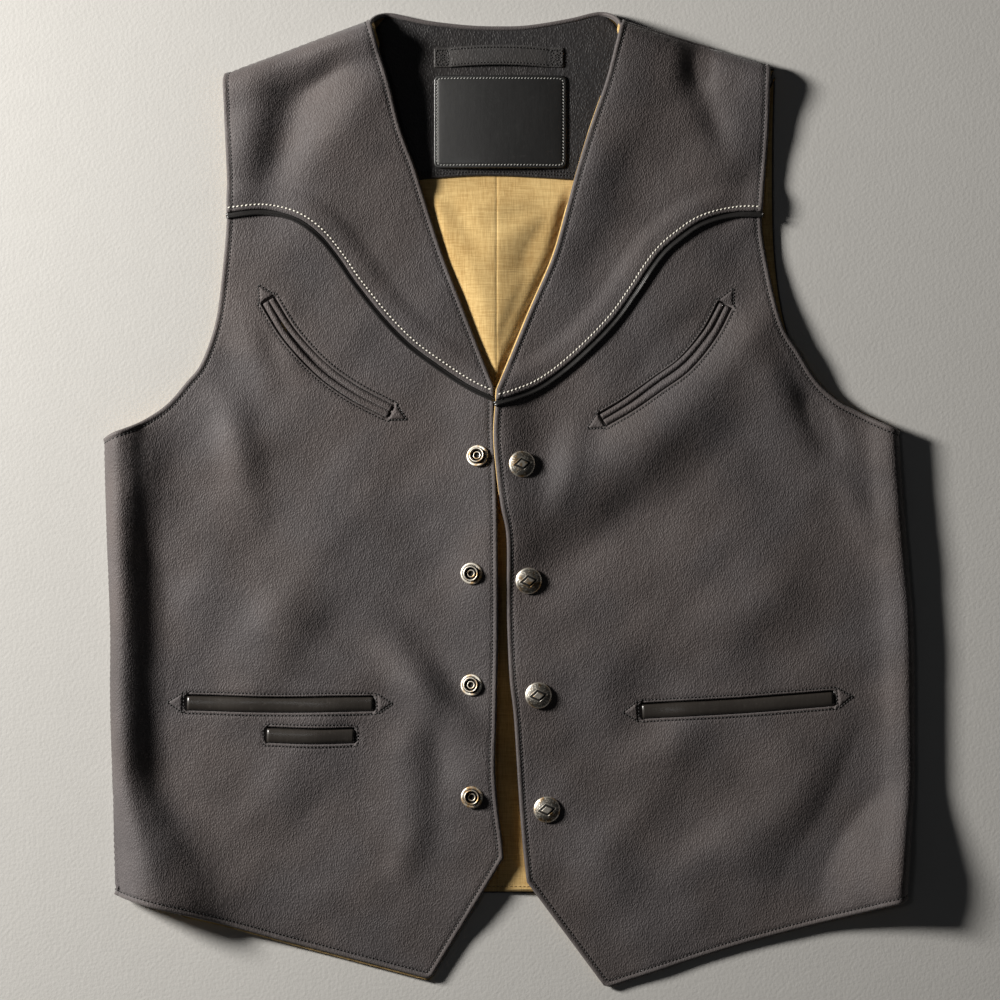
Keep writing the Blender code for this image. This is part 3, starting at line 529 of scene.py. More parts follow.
def shoulder_frame(side):
    """The outer end of a shoulder fold, the way along it to the neck, and the way outwards."""
    outer, neck = (np.array(p, float) for p in SHOULDER[side])
    along = (neck - outer) / np.linalg.norm(neck - outer)
    return outer, along, np.array([along[1], -along[0]]) * SIGN[side]


def unrolled(side, plan):
    """The pattern points of places that are seen from above."""
    plan = np.array(plan, float)
    sign = SIGN[side]
    fold = fold_x(side, plan[:, 1])
    pattern = plan.copy()
    pattern[:, 0] = fold + sign * (unroll(sign * (fold - plan[:, 0])) - ROLL_WIDTH)
    outer, _, outwards = shoulder_frame(side)
    depth = (outer - plan) @ outwards
    return pattern + (unroll(depth) - ROLL_WIDTH + depth)[:, None] * outwards


def waves(plan):
    """The low waves of the leather."""
    height = np.zeros(len(plan))
    for wave in WAVES:
        turn = math.radians(wave.turn)
        way = np.array([math.cos(turn), math.sin(turn)])
        height += wave.height * np.sin(plan @ way * 2 * math.pi / wave.length + wave.phase)
    return height


def hump(folds, plan):
    """How far folds lift the points of a sheet."""
    lift = np.zeros(len(plan))
    for fold in folds:
        turn = math.radians(fold.turn)
        offset = plan - (fold.x, fold.y)
        along = offset @ (math.cos(turn), math.sin(turn)) / fold.along
        across = offset @ (-math.sin(turn), math.cos(turn)) / fold.across
        lift += fold.height * np.exp(-along**2 - across**2)
    return lift


def rise(side, plan):
    """How far the troughs and ridges of a front lift it."""
    lift = hump(FOLDS[side], plan) + waves(plan)
    return (lift + np.hypot(lift, SOFT_FLOOR)) / 2


def rest(side, pattern):
    """Where the inner face of a front's leather lies."""
    sign = SIGN[side]
    fold = fold_x(side, pattern[:, 1])
    beyond = sign * (pattern[:, 0] - fold) + ROLL_WIDTH
    inside, level, crest = roll(beyond)
    near_hem = soft_step(-pattern[:, 1], *HEM_SPAN)
    spot = inside / (1 + HEM_SPREAD[side] * near_hem)
    spot += ROLL_PULL[side] * (1 - np.exp(-inside / PULL_RUN))
    upper = ROLL_SECTION[:FOLD_AT + 1]
    crest = np.where(beyond <= ROLL_RUN[FOLD_AT], np.interp(-spot, -upper[:, 0], upper[:, 2]),
                     crest) * (1 + (HEM_CREST[side] - 1) * near_hem)
    plan = pattern.copy()
    plan[:, 0] = fold - sign * inside
    outer, along, outwards = shoulder_frame(side)
    depth = (pattern - outer) @ outwards
    inside, top_level, top_crest = roll(depth + ROLL_WIDTH)
    plan -= (depth + inside)[:, None] * outwards
    level = level * top_level
    crest_outer, crest_neck = SHOULDER_CREST[side]
    share = soft_step((plan - outer) @ along, 0, 100)
    height = LEATHER + level * (FRONT_LEVEL - LEATHER + rise(side, plan))
    height += crest * (CREST_HEIGHT[side] - FRONT_LEVEL)
    height += top_crest * (crest_outer + (crest_neck - crest_outer) * share - FRONT_LEVEL)
    height -= (FRONT_LEVEL - TIP_LEVEL) * soft_step(-plan[:, 1], *TIP_DROP) * level
    return np.column_stack([plan, height])


def place(side, pattern, lift):
    """Points `lift` outwards from the inner face of a front's leather."""
    pattern = np.asarray(pattern, float)
    across = rest(side, pattern + (SLOPE_STEP, 0)) - rest(side, pattern - (SLOPE_STEP, 0))
    up = rest(side, pattern + (0, SLOPE_STEP)) - rest(side, pattern - (0, SLOPE_STEP))
    outwards = np.cross(across, up)
    outwards /= np.linalg.norm(outwards, axis=1)[:, None]
    return rest(side, pattern) + outwards * np.reshape(lift, (-1, 1))


def lap(side, pattern):
    """How far the yoke is lifted by the front's edge under it."""
    away = distance(pattern, LAP_LINE[side])
    return LAP_RISE * (1 - soft_step(away, YOKE_LAP + 1.5, LAP_RUN))


# Meshes

def piece(name, vertices, faces, look, replaced=(), wear=None):
    """A mesh that rides on the body and stands for solids, from points in millimetres."""
    mesh = bpy.data.meshes.new(name)
    mesh.from_pydata((np.asarray(vertices) * MM).tolist(), [], faces)
    mesh.materials.append(FINISH[look])
    mesh.shade_smooth()
    if wear is not None:
        layer = mesh.attributes.new("wear", "FLOAT", "POINT")
        layer.data.foreach_set("value", np.asarray(wear, np.float32))
    made = bpy.data.objects.new(name, mesh)
    bpy.context.scene.collection.objects.link(made)
    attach(made, "root")
    if replaced:
        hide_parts(*replaced)
    return made


def wall_faces(faces, count):
    """Faces of a closed wall: an under sheet, an upper sheet and the rim that joins them."""
    ways = np.vstack([faces[:, [0, 1]], faces[:, [1, 2]], faces[:, [2, 0]]])
    forth = ways[:, 0] * count + ways[:, 1]
    rim = ways[~np.isin(forth, ways[:, 1] * count + ways[:, 0])]
    sides = np.column_stack([rim, rim[:, ::-1] + count])
    return faces[:, ::-1].tolist() + (faces + count).tolist() + sides.tolist()


def ring_faces(rings, sides):
    """The faces between one ring of points and the next."""
    return [(a + i, a + (i + 1) % sides, a + sides + (i + 1) % sides, a + sides + i)
            for a in range(0, (rings - 1) * sides, sides) for i in range(sides)]


def tube_faces(rings, sides):
    """Faces of a closed tube of rings, with a point in the middle of each end."""
    count = rings * sides
    last = count - sides
    return ([(count, (i + 1) % sides, i) for i in range(sides)] + ring_faces(rings, sides)
            + [(last + i, last + (i + 1) % sides, count + 1) for i in range(sides)])


def tube(rings):
    """Points and faces of a closed tube through rings of points."""
    rings = np.asarray(rings)
    ends = [rings[0].mean(axis=0), rings[-1].mean(axis=0)]
    return np.vstack([rings.reshape(-1, 3), ends]), tube_faces(*rings.shape[:2])


def gathered(parts):
    """Several bodies as one list of points and one list of faces."""
    points, faces, first = [], [], 0
    for vertices, sides in parts:
        points.append(vertices)
        faces += [tuple(first + i for i in f) for f in sides]
        first += len(vertices)
    return np.vstack(points), faces


def declare(pattern, faces):
    """Work out the area that a piece was cut to; the area is not used."""
    a, b, c = (pattern[faces[:, i]] for i in range(3))
    u, v = b - a, c - a
    area = abs(u[:, 0] * v[:, 1] - u[:, 1] * v[:, 0]).sum() / 2 * MM * MM


def wall(name, cut, under, over, look, node, wear=None):
    """A sheet of cloth or leather: the closed wall between its under and its upper face."""
    pattern, faces = cut
    if wear is not None:
        wear = np.tile(wear, 2)
    made = piece(name, np.vstack([under, over]), wall_faces(faces, len(pattern)), look, [node],
                 wear)
    declare(pattern, faces)


def flat(pattern, height):
    """Places pattern points level at a height."""
    return np.column_stack([pattern, np.broadcast_to(height, len(pattern))])


# Stitches

# A stitch's rings: where they are along it, and their share of its width
StitchRing = namedtuple("StitchRing", "at size")
STITCH_RINGS = (StitchRing(-0.5, 0.3), StitchRing(-0.34, 0.9), StitchRing(0.34, 0.9),
                StitchRing(0.5, 0.3))
STITCH_SIDES = 6
# A stitch's height, and how deep its thin ends dive, as shares of its width
STITCH_HEIGHT = 0.8
STITCH_DIVE = 0.7


def stitches(surface, line, kind):
    """A row of stitches along a line: `surface` places pattern points at a lift."""
    spots = even(line, kind.pitch)
    middles = (spots[1:] + spots[:-1]) / 2
    ways = spots[1:] - spots[:-1]
    ways /= np.linalg.norm(ways, axis=1)[:, None]
    square = np.column_stack([-ways[:, 1], ways[:, 0]])
    ways = ways * math.cos(kind.slant) + square * math.sin(kind.slant)
    first = surface(middles - ways * kind.length / 2, kind.lift)
    last = surface(middles + ways * kind.length / 2, kind.lift)
    up = surface(middles, kind.lift + 0.5) - surface(middles, kind.lift)
    along = last - first
    centre = (first + last) / 2
    across = np.cross(up, along)
    across /= np.linalg.norm(across, axis=1)[:, None]
    up = np.cross(along, across)
    up /= np.linalg.norm(up, axis=1)[:, None]
    angles = np.arange(STITCH_SIDES) * 2 * math.pi / STITCH_SIDES
    widest = max(row.size for row in STITCH_RINGS)
    rings = []
    for row in STITCH_RINGS:
        foot = centre + along * row.at
        radius = kind.width / 2 * row.size
        sunk = (widest - row.size) * kind.width * STITCH_DIVE
        aside = np.cos(angles) * radius
        above = np.sin(angles) * radius * STITCH_HEIGHT - sunk
        rings.append(foot[:, None] + across[:, None] * aside[None, :, None]
                     + up[:, None] * above[None, :, None])
    count = len(STITCH_RINGS) * STITCH_SIDES
    faces = [tuple(range(STITCH_SIDES))[::-1], *ring_faces(len(STITCH_RINGS), STITCH_SIDES),
             tuple(range(count - STITCH_SIDES, count))]
    return [(body, faces) for body in np.concatenate(rings, axis=1)]


def stitched(name, rows, look):
    """One mesh of all the stitches in some rows."""
    points, faces = gathered([body for row in rows for body in row])
    piece(name, points, faces, look)


# Materials

class Graph:
    """A material and short forms for its nodes."""

    def __init__(self, name):
        self.material = bpy.data.materials.new(name)
        self.material.use_nodes = True
        self.tree = self.material.node_tree
        self.shader = self.tree.nodes["Principled BSDF"]
        self.spot = self.add("ShaderNodeTexCoord").outputs["Object"]

    def add(self, kind, **settings):
        made = self.tree.nodes.new(kind)
        for key, value in settings.items():
            setattr(made, key, value)
        return made

    def feed(self, node, **inputs):
        """Set a node's inputs from values or outputs, by name with _ for a space, or as i0,
        i1 and so on by their place."""
        for key, value in inputs.items():
            socket = node.inputs[int(key[1:]) if key[0] == "i" and key[1:].isdigit()
                                 else key.replace("_", " ")]
            if isinstance(value, bpy.types.NodeSocket):
                self.tree.links.new(value, socket)
            else:
                socket.default_value = value
        return node

    def moved(self, turn, scale):
        """The place, turned about Z and stretched."""
        node = self.add("ShaderNodeMapping")
        return self.feed(node, Vector=self.spot, Rotation=(0, 0, turn), Scale=scale).outputs[0]

    def noise(self, scale, detail=2.0, rough=0.5, spot=None):
        node = self.add("ShaderNodeTexNoise")
        return self.feed(node, Vector=spot or self.spot, Scale=scale, Detail=detail,
                         Roughness=rough).outputs["Fac"]

    def warped(self, scale, amount, spot=None):
        """The place, pushed about by noise."""
        spot = spot or self.spot
        node = self.feed(self.add("ShaderNodeTexNoise"), Vector=spot, Scale=scale)
        push = self.feed(self.add("ShaderNodeVectorMath", operation="MULTIPLY_ADD"),
                         i0=node.outputs["Color"], i1=(amount,) * 3, i2=spot)
        return push.outputs[0]

    def cells(self, scale, spot):
        """How far each place is from the middle of its cell."""
        node = self.add("ShaderNodeTexVoronoi")
        return self.feed(node, Vector=spot, Scale=scale).outputs["Distance"]

    def spread(self, value, low, high, start=0.0, end=1.0):
        """A smooth change from `start` to `end` as a value goes from `low` to `high`."""
        node = self.add("ShaderNodeMapRange", interpolation_type="SMOOTHSTEP")
        return self.feed(node, Value=value, From_Min=low, From_Max=high, To_Min=start,
                         To_Max=end).outputs[0]

    def sum(self, *terms):
        """The sum of values, each with its weight."""
        total = None
        for value, weight in terms:
            node = self.add("ShaderNodeMath", operation="MULTIPLY_ADD")
            total = self.feed(node, i0=value, i1=weight, i2=total or 0.0).outputs[0]
        return total

    def math(self, operation, a, b):
        return self.feed(self.add("ShaderNodeMath", operation=operation), i0=a, i1=b).outputs[0]

    def times(self, a, b):
        return self.math("MULTIPLY", a, b)

    def mix(self, share, a, b):
        """A share of the way from one colour to another."""
        node = self.add("ShaderNodeMix", data_type="RGBA")
        colours = [(*c, 1.0) if isinstance(c, tuple) else c for c in (a, b)]
        return self.feed(node, i0=share, i6=colours[0], i7=colours[1]).outputs[2]

    def tint(self, a, b):
        """One colour multiplied by another."""
        node = self.add("ShaderNodeMix", data_type="RGBA", blend_type="MULTIPLY")
        return self.feed(node, i0=1.0, i6=a, i7=b).outputs[2]

    def worn(self):
        """The wear that the mesh holds for each point; on fasteners it is soiling and painted
        shade, and round the fronts' pocket slots it is also a painted highlight.
        """
        return self.add("ShaderNodeAttribute", attribute_name="wear").outputs["Fac"]

    def bump(self, height, depth):
        """Bump of a height in metres."""
        node = self.add("ShaderNodeBump")
        self.feed(node, Height=height, Distance=depth, Strength=1.0)
        self.feed(self.shader, Normal=node.outputs[0])


def leather(name, dark, light, edge, grain, depth, rough, sheen):
    """Matte pebbled leather with cloudy colour and painted shade in its grain's creases, worn
    smoother and lighter at its edges, where the lighter colour round pocket slots is also a
    painted highlight.
    """
    g = Graph(name)
    spot = g.warped(90, 0.005, g.moved(0.75, (1.0, 0.62, 1.0)))
    pebble = g.spread(g.cells(1 / grain, spot), 0.1, 0.72, 1.0, 0.0)
    fine = g.noise(1.9 / grain, 3.0, 0.6, spot)
    soft = g.noise(0.22 / grain, 2.0, 0.5)
    wear = g.worn()
    clouds = g.spread(g.noise(9, 3.0, 0.55), 0.3, 0.7)
    patches = g.spread(g.noise(36, 3.0, 0.6), 0.3, 0.7)
    # The pebbles darken the colour towards the edges of their cells: painted shade in the grain's
    # creases
    share = g.sum((clouds, 0.22), (patches, 0.14), (fine, 0.38), (pebble, 0.24))
    body = g.mix(share, dark, light)
    worn = g.times(wear, g.spread(g.noise(130, 3.0), 0.25, 0.7, 0.35, 1.0))
    warmth = g.spread(g.noise(13, 2.0, 0.5), 0.35, 0.65)
    body = g.tint(body, g.mix(warmth, (0.97, 0.995, 1.03), (1.035, 0.995, 0.965)))
    g.feed(g.shader, Base_Color=g.mix(worn, body, edge), Specular_IOR_Level=0.4,
           Sheen_Weight=sheen, Sheen_Roughness=0.45,
           Roughness=g.spread(fine, 0.3, 0.7, rough - 0.06, rough + 0.08))
    smoother = g.math("SUBTRACT", 1.0, g.times(wear, 0.65))
    relief = g.sum((pebble, 0.9), (fine, 0.6), (soft, 1.1))
    g.bump(g.times(relief, smoother), depth)
    return g.material


def smooth_leather(name, colour, light, rough, coat):
    """Smooth finished leather, faintly brushed and scuffed."""
    g = Graph(name)
    brushed = g.noise(1.0, 3.0, 0.6, g.moved(0.0, (900, 60, 60)))
    scuffs = g.spread(g.noise(240, 5.0, 0.7), 0.56, 0.75)
    pores = g.noise(1300, 2.0)
    share = g.sum((brushed, 0.35), (scuffs, 0.4), (g.noise(30, 2.0), 0.4))
    g.feed(g.shader, Base_Color=g.mix(share, colour, light), Coat_Weight=coat,
           Coat_Roughness=0.24, Roughness=g.spread(share, 0.2, 0.9, rough, rough + 0.18))
    g.bump(g.sum((pores, 0.6), (brushed, 0.3), (g.noise(160, 2.0), 2.0)), 0.00006)
    return g.material


def canvas(name, shade, gold):
    """Slubby cotton canvas."""
    g = Graph(name)
    weft = g.noise(1.0, 3.0, 0.65, g.moved(0.02, (70, 1250, 300)))
    warp = g.noise(1.0, 3.0, 0.65, g.moved(0.02, (1350, 90, 300)))
    slubs = g.spread(g.noise(1.0, 2.0, 0.5, g.moved(0.02, (26, 620, 200))), 0.58, 0.8)
    clouds = g.spread(g.noise(26, 3.0), 0.3, 0.7)
    thread = g.sum((weft, 0.5), (warp, 0.5))
    share = g.sum((g.spread(thread, 0.36, 0.64), 0.55), (clouds, 0.35), (slubs, 0.25))
    g.feed(g.shader, Base_Color=g.mix(share, shade, gold), Roughness=0.9,
           Specular_IOR_Level=0.2, Sheen_Weight=0.15)
    g.bump(g.sum((thread, 1.0), (slubs, 0.5)), 0.00022)
    return g.material


def thread(name, colour, light):
    """Waxed sewing thread."""
    g = Graph(name)
    twist = g.noise(1.0, 2.0, 0.5, g.moved(0.7, (2600, 700, 900)))
    g.feed(g.shader, Base_Color=g.mix(g.spread(twist, 0.35, 0.65), colour, light),
           Roughness=0.55)
    g.bump(twist, 0.00008)
    return g.material


def nickel(name, plating, brass, tarnished, dirt_and_shade):
    """Aged nickel, browned where the plating has worn through, and near black in its hollows:
    painted shade, with a little soiling.
    """
    g = Graph(name)
    stipple = g.cells(760, g.warped(500, 0.0008))
    browned = g.spread(g.sum((g.noise(260, 3.0, 0.6), 1.0), (g.noise(90, 2.0), 0.6)), 0.72, 0.98)
    tarnish = g.spread(stipple, 0.2, 0.48)
    metal = g.mix(browned, plating, brass)
    wear = g.worn()
    stippled = g.mix(g.times(tarnish, wear), metal, tarnished)
    # In the hollows the metal turns near black: painted shade, with a little soiling
    grime = g.spread(wear, 0.72, 0.95)
    g.feed(g.shader, Base_Color=g.mix(grime, stippled, dirt_and_shade),
           Metallic=g.spread(grime, 0.0, 1.0, 1.0, 0.2),
           Roughness=g.spread(grime, 0.0, 1.0, 0.47, 0.8))
    g.bump(g.times(g.spread(stipple, 0.1, 0.6, 1.0, 0.0), wear), 0.00007)
    return g.material


def plaster(name, shade, pale):
    """Matte, faintly clouded and uneven plaster."""
    g = Graph(name)
    share = g.sum((g.noise(3, 4.0), 0.6), (g.noise(60, 4.0), 0.4))
    g.feed(g.shader, Base_Color=g.mix(share, shade, pale), Roughness=0.75,
           Specular_IOR_Level=0.25)
    g.bump(g.noise(420, 4.0), 0.0002)
    return g.material


FINISH = {
    "leather": leather("charcoal_leather", dark=(0.037, 0.0315, 0.0315),
                       light=(0.105, 0.0895, 0.0885), edge=(0.096, 0.083, 0.081),
                       grain=0.00104, depth=0.00024, rough=0.64, sheen=0.20),
    "facing": leather("pebbled_black_leather", dark=(0.012, 0.011, 0.0112),
                      light=(0.034, 0.031, 0.0315), edge=(0.05, 0.046, 0.045),
                      grain=0.0013, depth=0.00019, rough=0.50, sheen=0.08),
    "strap": leather("strap_leather", dark=(0.020, 0.019, 0.019), light=(0.058, 0.054, 0.053),
                     edge=(0.085, 0.08, 0.078), grain=0.0013, depth=0.00015, rough=0.45,
                     sheen=0.08),
    "label": smooth_leather("smooth_black_leather", colour=(0.006, 0.006, 0.006),
                            light=(0.014, 0.0135, 0.0135), rough=0.54, coat=0.7),
    "piping": smooth_leather("piping_leather", colour=(0.010, 0.0095, 0.0095),
                             light=(0.030, 0.028, 0.027), rough=0.30, coat=0.8),
    "welt": smooth_leather("glossy_dark_leather", colour=(0.018, 0.0155, 0.0135),
                           light=(0.052, 0.045, 0.039), rough=0.30, coat=0.6),
    "canvas": canvas("gold_canvas", shade=(0.40, 0.245, 0.085), gold=(0.78, 0.565, 0.25)),
    "dark": thread("dark_thread", (0.006, 0.006, 0.006), (0.022, 0.02, 0.02)),
    "white": thread("white_thread", (0.56, 0.53, 0.46), (0.88, 0.85, 0.76)),
    "grey": thread("grey_thread", (0.16, 0.16, 0.155), (0.42, 0.42, 0.40)),
    "gold": thread("gold_thread", (0.18, 0.11, 0.04), (0.38, 0.25, 0.10)),
    "metal": nickel("aged_nickel", plating=(0.80, 0.755, 0.67), brass=(0.56, 0.37, 0.18),
                    tarnished=(0.022, 0.018, 0.014), dirt_and_shade=(0.008, 0.007, 0.006)),
}


# Fronts

SEAM_POINTS = 150
# How far an armhole's edge runs straight from the hidden end of its shoulder
SHOULDER_TUCK = 16.0


def side_seam(side, outwards):
    """A line `outwards` from the side fold in the flat pattern, from the armpit to the hem."""
    heights = np.linspace(ARMPIT[side], HEM_END[side], SEAM_POINTS)
    return np.column_stack([fold_x(side, heights) + SIGN[side] * outwards, heights])


def front_edges(side):
    """The lines round a front: armhole, side seam, and from the hem round to the neck."""
    outer, along, outwards = shoulder_frame(side)
    hidden = ROLL_LENGTH - ROLL_WIDTH
    neck = outer + along * ((np.array(NECK[side][0]) - outer) @ along)
    seam = side_seam(side, hidden)
    flare = along * min(SHOULDER_START[side], 0.0)
    armhole = [outer + outwards * hidden + flare,
               outer + outwards * (hidden - SHOULDER_TUCK) + flare,
               *unrolled(side, ARMHOLE[side]), seam[0]]
    lower = (
        smooth([seam[-1], *unrolled(side, HEM[side])[::-1]], EDGE_PITCH),
        smooth([HEM[side][0], TIP[side][1]], EDGE_PITCH)[1:],
        smooth(TIP[side][::-1], EDGE_PITCH)[1:],
        smooth(CENTRE[side][::-1], EDGE_PITCH)[1:],
        smooth([*unrolled(side, NECK[side])[::-1], neck + outwards * hidden], EDGE_PITCH)[1:],
    )
    return smooth(armhole, EDGE_PITCH), seam, np.vstack(lower)


EDGES = {side: front_edges(side) for side in SIDES}
OUTLINE = {side: counterclockwise(join(*EDGES[side])) for side in SIDES}
YOKE_LINE = {side: smooth(YOKE_EDGE[side], EDGE_PITCH) for side in SIDES}
YOKE_REGION = {side: beside(YOKE_LINE[side], HALF_LENGTH) for side in SIDES}


def inset(line, side, amount):
    """A line moved inwards on a front, without the loops that corners make."""
    moved = sideways(line, -SIGN[side] * amount)
    return moved[distance(moved, line) > amount * 0.97]


def rim_distance(side, pattern):
    """How far points of a front are from its turned edges."""
    return np.minimum(distance(pattern, EDGES[side][0]), distance(pattern, EDGES[side][2]))


def worn(away, wear):
    """How worn leather is at a distance from its edge."""
    return wear.amount * np.exp(-((away - wear.middle) / wear.width)**2)


def pockets(side):
    """The curve and half width of each pocket slot in a front."""
    found = [(smooth(CHEST_POCKET[side], EDGE_PITCH), CHEST_HALF),
             (smooth(LOWER_POCKET[side], EDGE_PITCH), WELT_HALF)]
    if side == "right":
        found.append((smooth(COIN_POCKET, EDGE_PITCH), WELT_HALF))
    return found


def slot_loop(curve, half, out=0.0):
    """The outline of a slot, or one that is larger all round by `out`."""
    return band(shortened(curve, -out), half + out, -half - out)


def make_front(side):
    inwards = (-SIGN[side],)
    armhole, _, lower = EDGES[side]
    top_edge = sideways(YOKE_LINE[side], -SIGN[side] * YOKE_LAP)
    slots = [slot_loop(curve, half) for curve, half in pockets(side)]
    edges = [(armhole, TURNED_EDGE, inwards), (lower, TURNED_EDGE, inwards)]
    edges += [(closed(slot), SLOT_EDGE, (-1,)) for slot in slots]
    cut = fine_sheet([OUTLINE[side], beside(top_edge, -BEYOND)], slots, edges)
    pattern = cut[0]
    rim = rim_distance(side, pattern)
    slot = np.min([distance(pattern, closed(loop)) for loop in slots], axis=0)
    over = LEATHER + levels(TURNED_EDGE, rim) + levels(SLOT_EDGE, slot)
    # The lighter colour round the slots is wear with a painted highlight
    wall(f"leather_front_{side}", cut, place(side, pattern, levels(TURNED_UNDER, rim)),
         place(side, pattern, over), "leather", f"front_{side}",
         worn(rim, RIM_WEAR) + worn(slot, SLOT_WEAR_AND_HIGHLIGHT))


# The shoulder seam that comes out over the top of the left shoulder, as seen from above
SHOULDER_SEAM = ((72, 333), (79, 331), (98, 325.5), (119, 319.5), (140, 314))
SEAM_GROOVE = (Level(0, -0.8), Level(0.4, -0.35), Level(0.9, 0.25), Level(1.6, 0.35),
               Level(2.6, 0.05), Level(3.5, 0.0))


def make_yoke(side):
    inwards = (-SIGN[side],)
    armhole, _, lower = EDGES[side]
    edges = [(armhole, TURNED_EDGE, inwards), (lower, TURNED_EDGE, inwards),
             (YOKE_LINE[side], LAPPED_EDGE, inwards)]
    seam = smooth(unrolled("left", SHOULDER_SEAM), EDGE_PITCH)
    if side == "left":
        edges.append((seam, SEAM_GROOVE, (-1, 1)))
    cut = fine_sheet([OUTLINE[side], YOKE_REGION[side]], (), edges)
    pattern = cut[0]
    rim = rim_distance(side, pattern)
    lower_edge = distance(pattern, YOKE_LINE[side])
    lift = lap(side, pattern)
    over = lift + LEATHER + levels(TURNED_EDGE, rim) + levels(LAPPED_EDGE, lower_edge)
    if side == "left":
        over += levels(SEAM_GROOVE, distance(pattern, seam))
    wall(f"leather_yoke_{side}", cut, place(side, pattern, lift + levels(TURNED_UNDER, rim)),
         place(side, pattern, np.maximum(over, lift + THIN_LEATHER)), "leather",
         f"yoke_{side}",
         np.maximum(worn(rim, RIM_WEAR), worn(lower_edge, LAP_WEAR)))


# Where the lining shows past the leather's edge: a line from, a line to, and how far
Peek = namedtuple("Peek", "first last amount")
PEEKS = {
    "right": (Peek((-222, -291), (-150, -311), 1.3), Peek((-150, -312), (-62, -334), 1.5),
              Peek((-93, 322), (-97, 334), 1.6)),
    "left": (Peek((62, 276), (39, 200), 0.4), Peek((39, 200), (14, 132), 0.8),
             Peek((14, 132), (-9, 76), 0.8), Peek((-10, 62), (-9, 8), 0.5),
             Peek((79, 337), (78, 333), 1.4)),
}
PEEK_FADE = (4.0, 12.0)
LINING_INSET = 1.0


def make_front_lining(side):
    outline = OUTLINE[side]
    reach = np.full(len(outline), -LINING_INSET)
    for peek in PEEKS[side]:
        away = distance(outline, np.array([peek.first, peek.last], float))
        share = 1 - soft_step(away, *PEEK_FADE)
        reach = np.maximum(reach, (peek.amount + LINING_INSET) * share - LINING_INSET)
    cut = fine_sheet([sideways(outline, -reach, closed=True)], pitch=LINING_PITCH)
    foot = -LINING_GAP - CANVAS
    wall(f"canvas_front_{side}", cut, place(side, cut[0], foot),
         place(side, cut[0], foot + CANVAS), "canvas", f"front_lining_{side}")


def on_front(side):
    """Places pattern points on the front's or the yoke's outer face."""
    def surface(pattern, lift):
        pattern = np.asarray(pattern, float)
        raised = lap(side, pattern) * within(pattern, YOKE_REGION[side])
        raised += levels(TURNED_EDGE, rim_distance(side, pattern))
        return place(side, pattern, LEATHER + raised + lift)
    return surface


# Sections of the strips, each row a distance towards the neck and a height
PIPING = (Level(1.5, 0.0), Level(1.6, 0.7), Level(0.9, 1.0), Level(0.3, 0.95),
          Level(-0.2, 1.2), Level(-0.5, 1.9), Level(-0.95, 2.35), Level(-1.5, 2.3),
          Level(-1.85, 1.8), Level(-1.95, 1.0), Level(-1.7, 0.2), Level(-1.3, 0.0))
CHEST_LIP = (Level(0.1, -0.2), Level(0.15, 0.8), Level(0.7, 1.55), Level(1.7, 2.0),
             Level(2.9, 1.95), Level(3.9, 1.5), Level(4.55, 0.8), Level(4.8, -0.2))
WELT = (Level(4.5, -0.2), Level(4.4, 0.9), Level(3.9, 1.7), Level(2.8, 2.1), Level(0.6, 2.3),
        Level(-2.0, 2.25), Level(-3.9, 1.9), Level(-4.9, 1.2), Level(-5.25, 0.4),
        Level(-5.3, -0.2))

# The piping's line under the yoke's edge, its lift, and how far it runs past the outline
PIPING_DROP = SEAM_GAP + 1.6
PIPING_LIFT = 0.2
PIPING_END = 0.9

# The pocket bag behind a slot, and how far it goes past the slot's sides and ends
BACKING_FOOT = -0.42
BACKING_TOP = BACKING_FOOT + 0.3
BACKING_SPREAD = 1.2
BACKING_REACH = 1.4

# The lips of a chest pocket gape a little at their ends and more in the middle, the lower one
# by a share of that. Both are narrower than their section, and strips end short of the slot
LIP_GAPE = 0.3
MIDDLE_GAPE = 1.2
GAPE_POWER = 1.5
LOWER_GAPE = 0.35
UPPER_WIDTH = 0.88
LOWER_WIDTH = 0.94
LIP_END = 0.6
WELT_END = 0.4


def swept(side, curve, section, base=0.0, across=1.0, lift=0.0):
    """A closed strip along a curve on a front, with its section's rows as rings."""
    rows = []
    for row in section:
        line = sideways(curve, -SIGN[side] * (row.at * across + base))
        rows.append(place(side, line, row.height + lift))
    rings = np.array(rows).transpose(1, 0, 2)
    return tube(rings if side == "left" else rings[:, ::-1])


def make_piping(side):
    line = sideways(YOKE_LINE[side], SIGN[side] * PIPING_DROP)
    line = line[within(line, sideways(OUTLINE[side], -PIPING_END, closed=True))]
    points, faces = swept(side, line, PIPING, lift=LEATHER + PIPING_LIFT)
    piece(f"piping_strip_{side}", points, faces, "piping", [f"piping_{side}"])


def backing(side, curve, half):
    """The dark pocket bag behind a slot."""
    edge = half + BACKING_SPREAD
    section = (Level(edge, BACKING_FOOT), Level(edge, BACKING_TOP), Level(-edge, BACKING_TOP),
               Level(-edge, BACKING_FOOT))
    return swept(side, shortened(curve, -BACKING_REACH), section)


def make_pockets(side):
    (chest, _), (lower, _), *coin = pockets(side)
    chest = shortened(chest, LIP_END)
    along = np.linspace(0, 1, len(chest))
    gape = LIP_GAPE + MIDDLE_GAPE * np.sin(math.pi * along)**GAPE_POWER
    under_lip = [Level(-row.at, row.height) for row in CHEST_LIP[::-1]]
    points, faces = gathered([backing(side, chest, CHEST_HALF),
                              swept(side, chest, CHEST_LIP, gape, UPPER_WIDTH),
                              swept(side, chest, under_lip, -gape * LOWER_GAPE, LOWER_WIDTH)])
    piece(f"chest_lips_{side}", points, faces, "leather",
          [f"chest_lip_upper_{side}", f"chest_lip_lower_{side}"], np.zeros(len(points)))
    welts = [(f"welt_{side}", f"lower_welt_{side}", lower)]
    welts += [("coin_strip_right", "coin_welt_right", curve) for curve, _ in coin]
    for name, node, curve in welts:
        strip = swept(side, shortened(curve, WELT_END), WELT)
        points, faces = gathered([backing(side, curve, WELT_HALF), strip])
        piece(name, points, faces, "welt", [node])


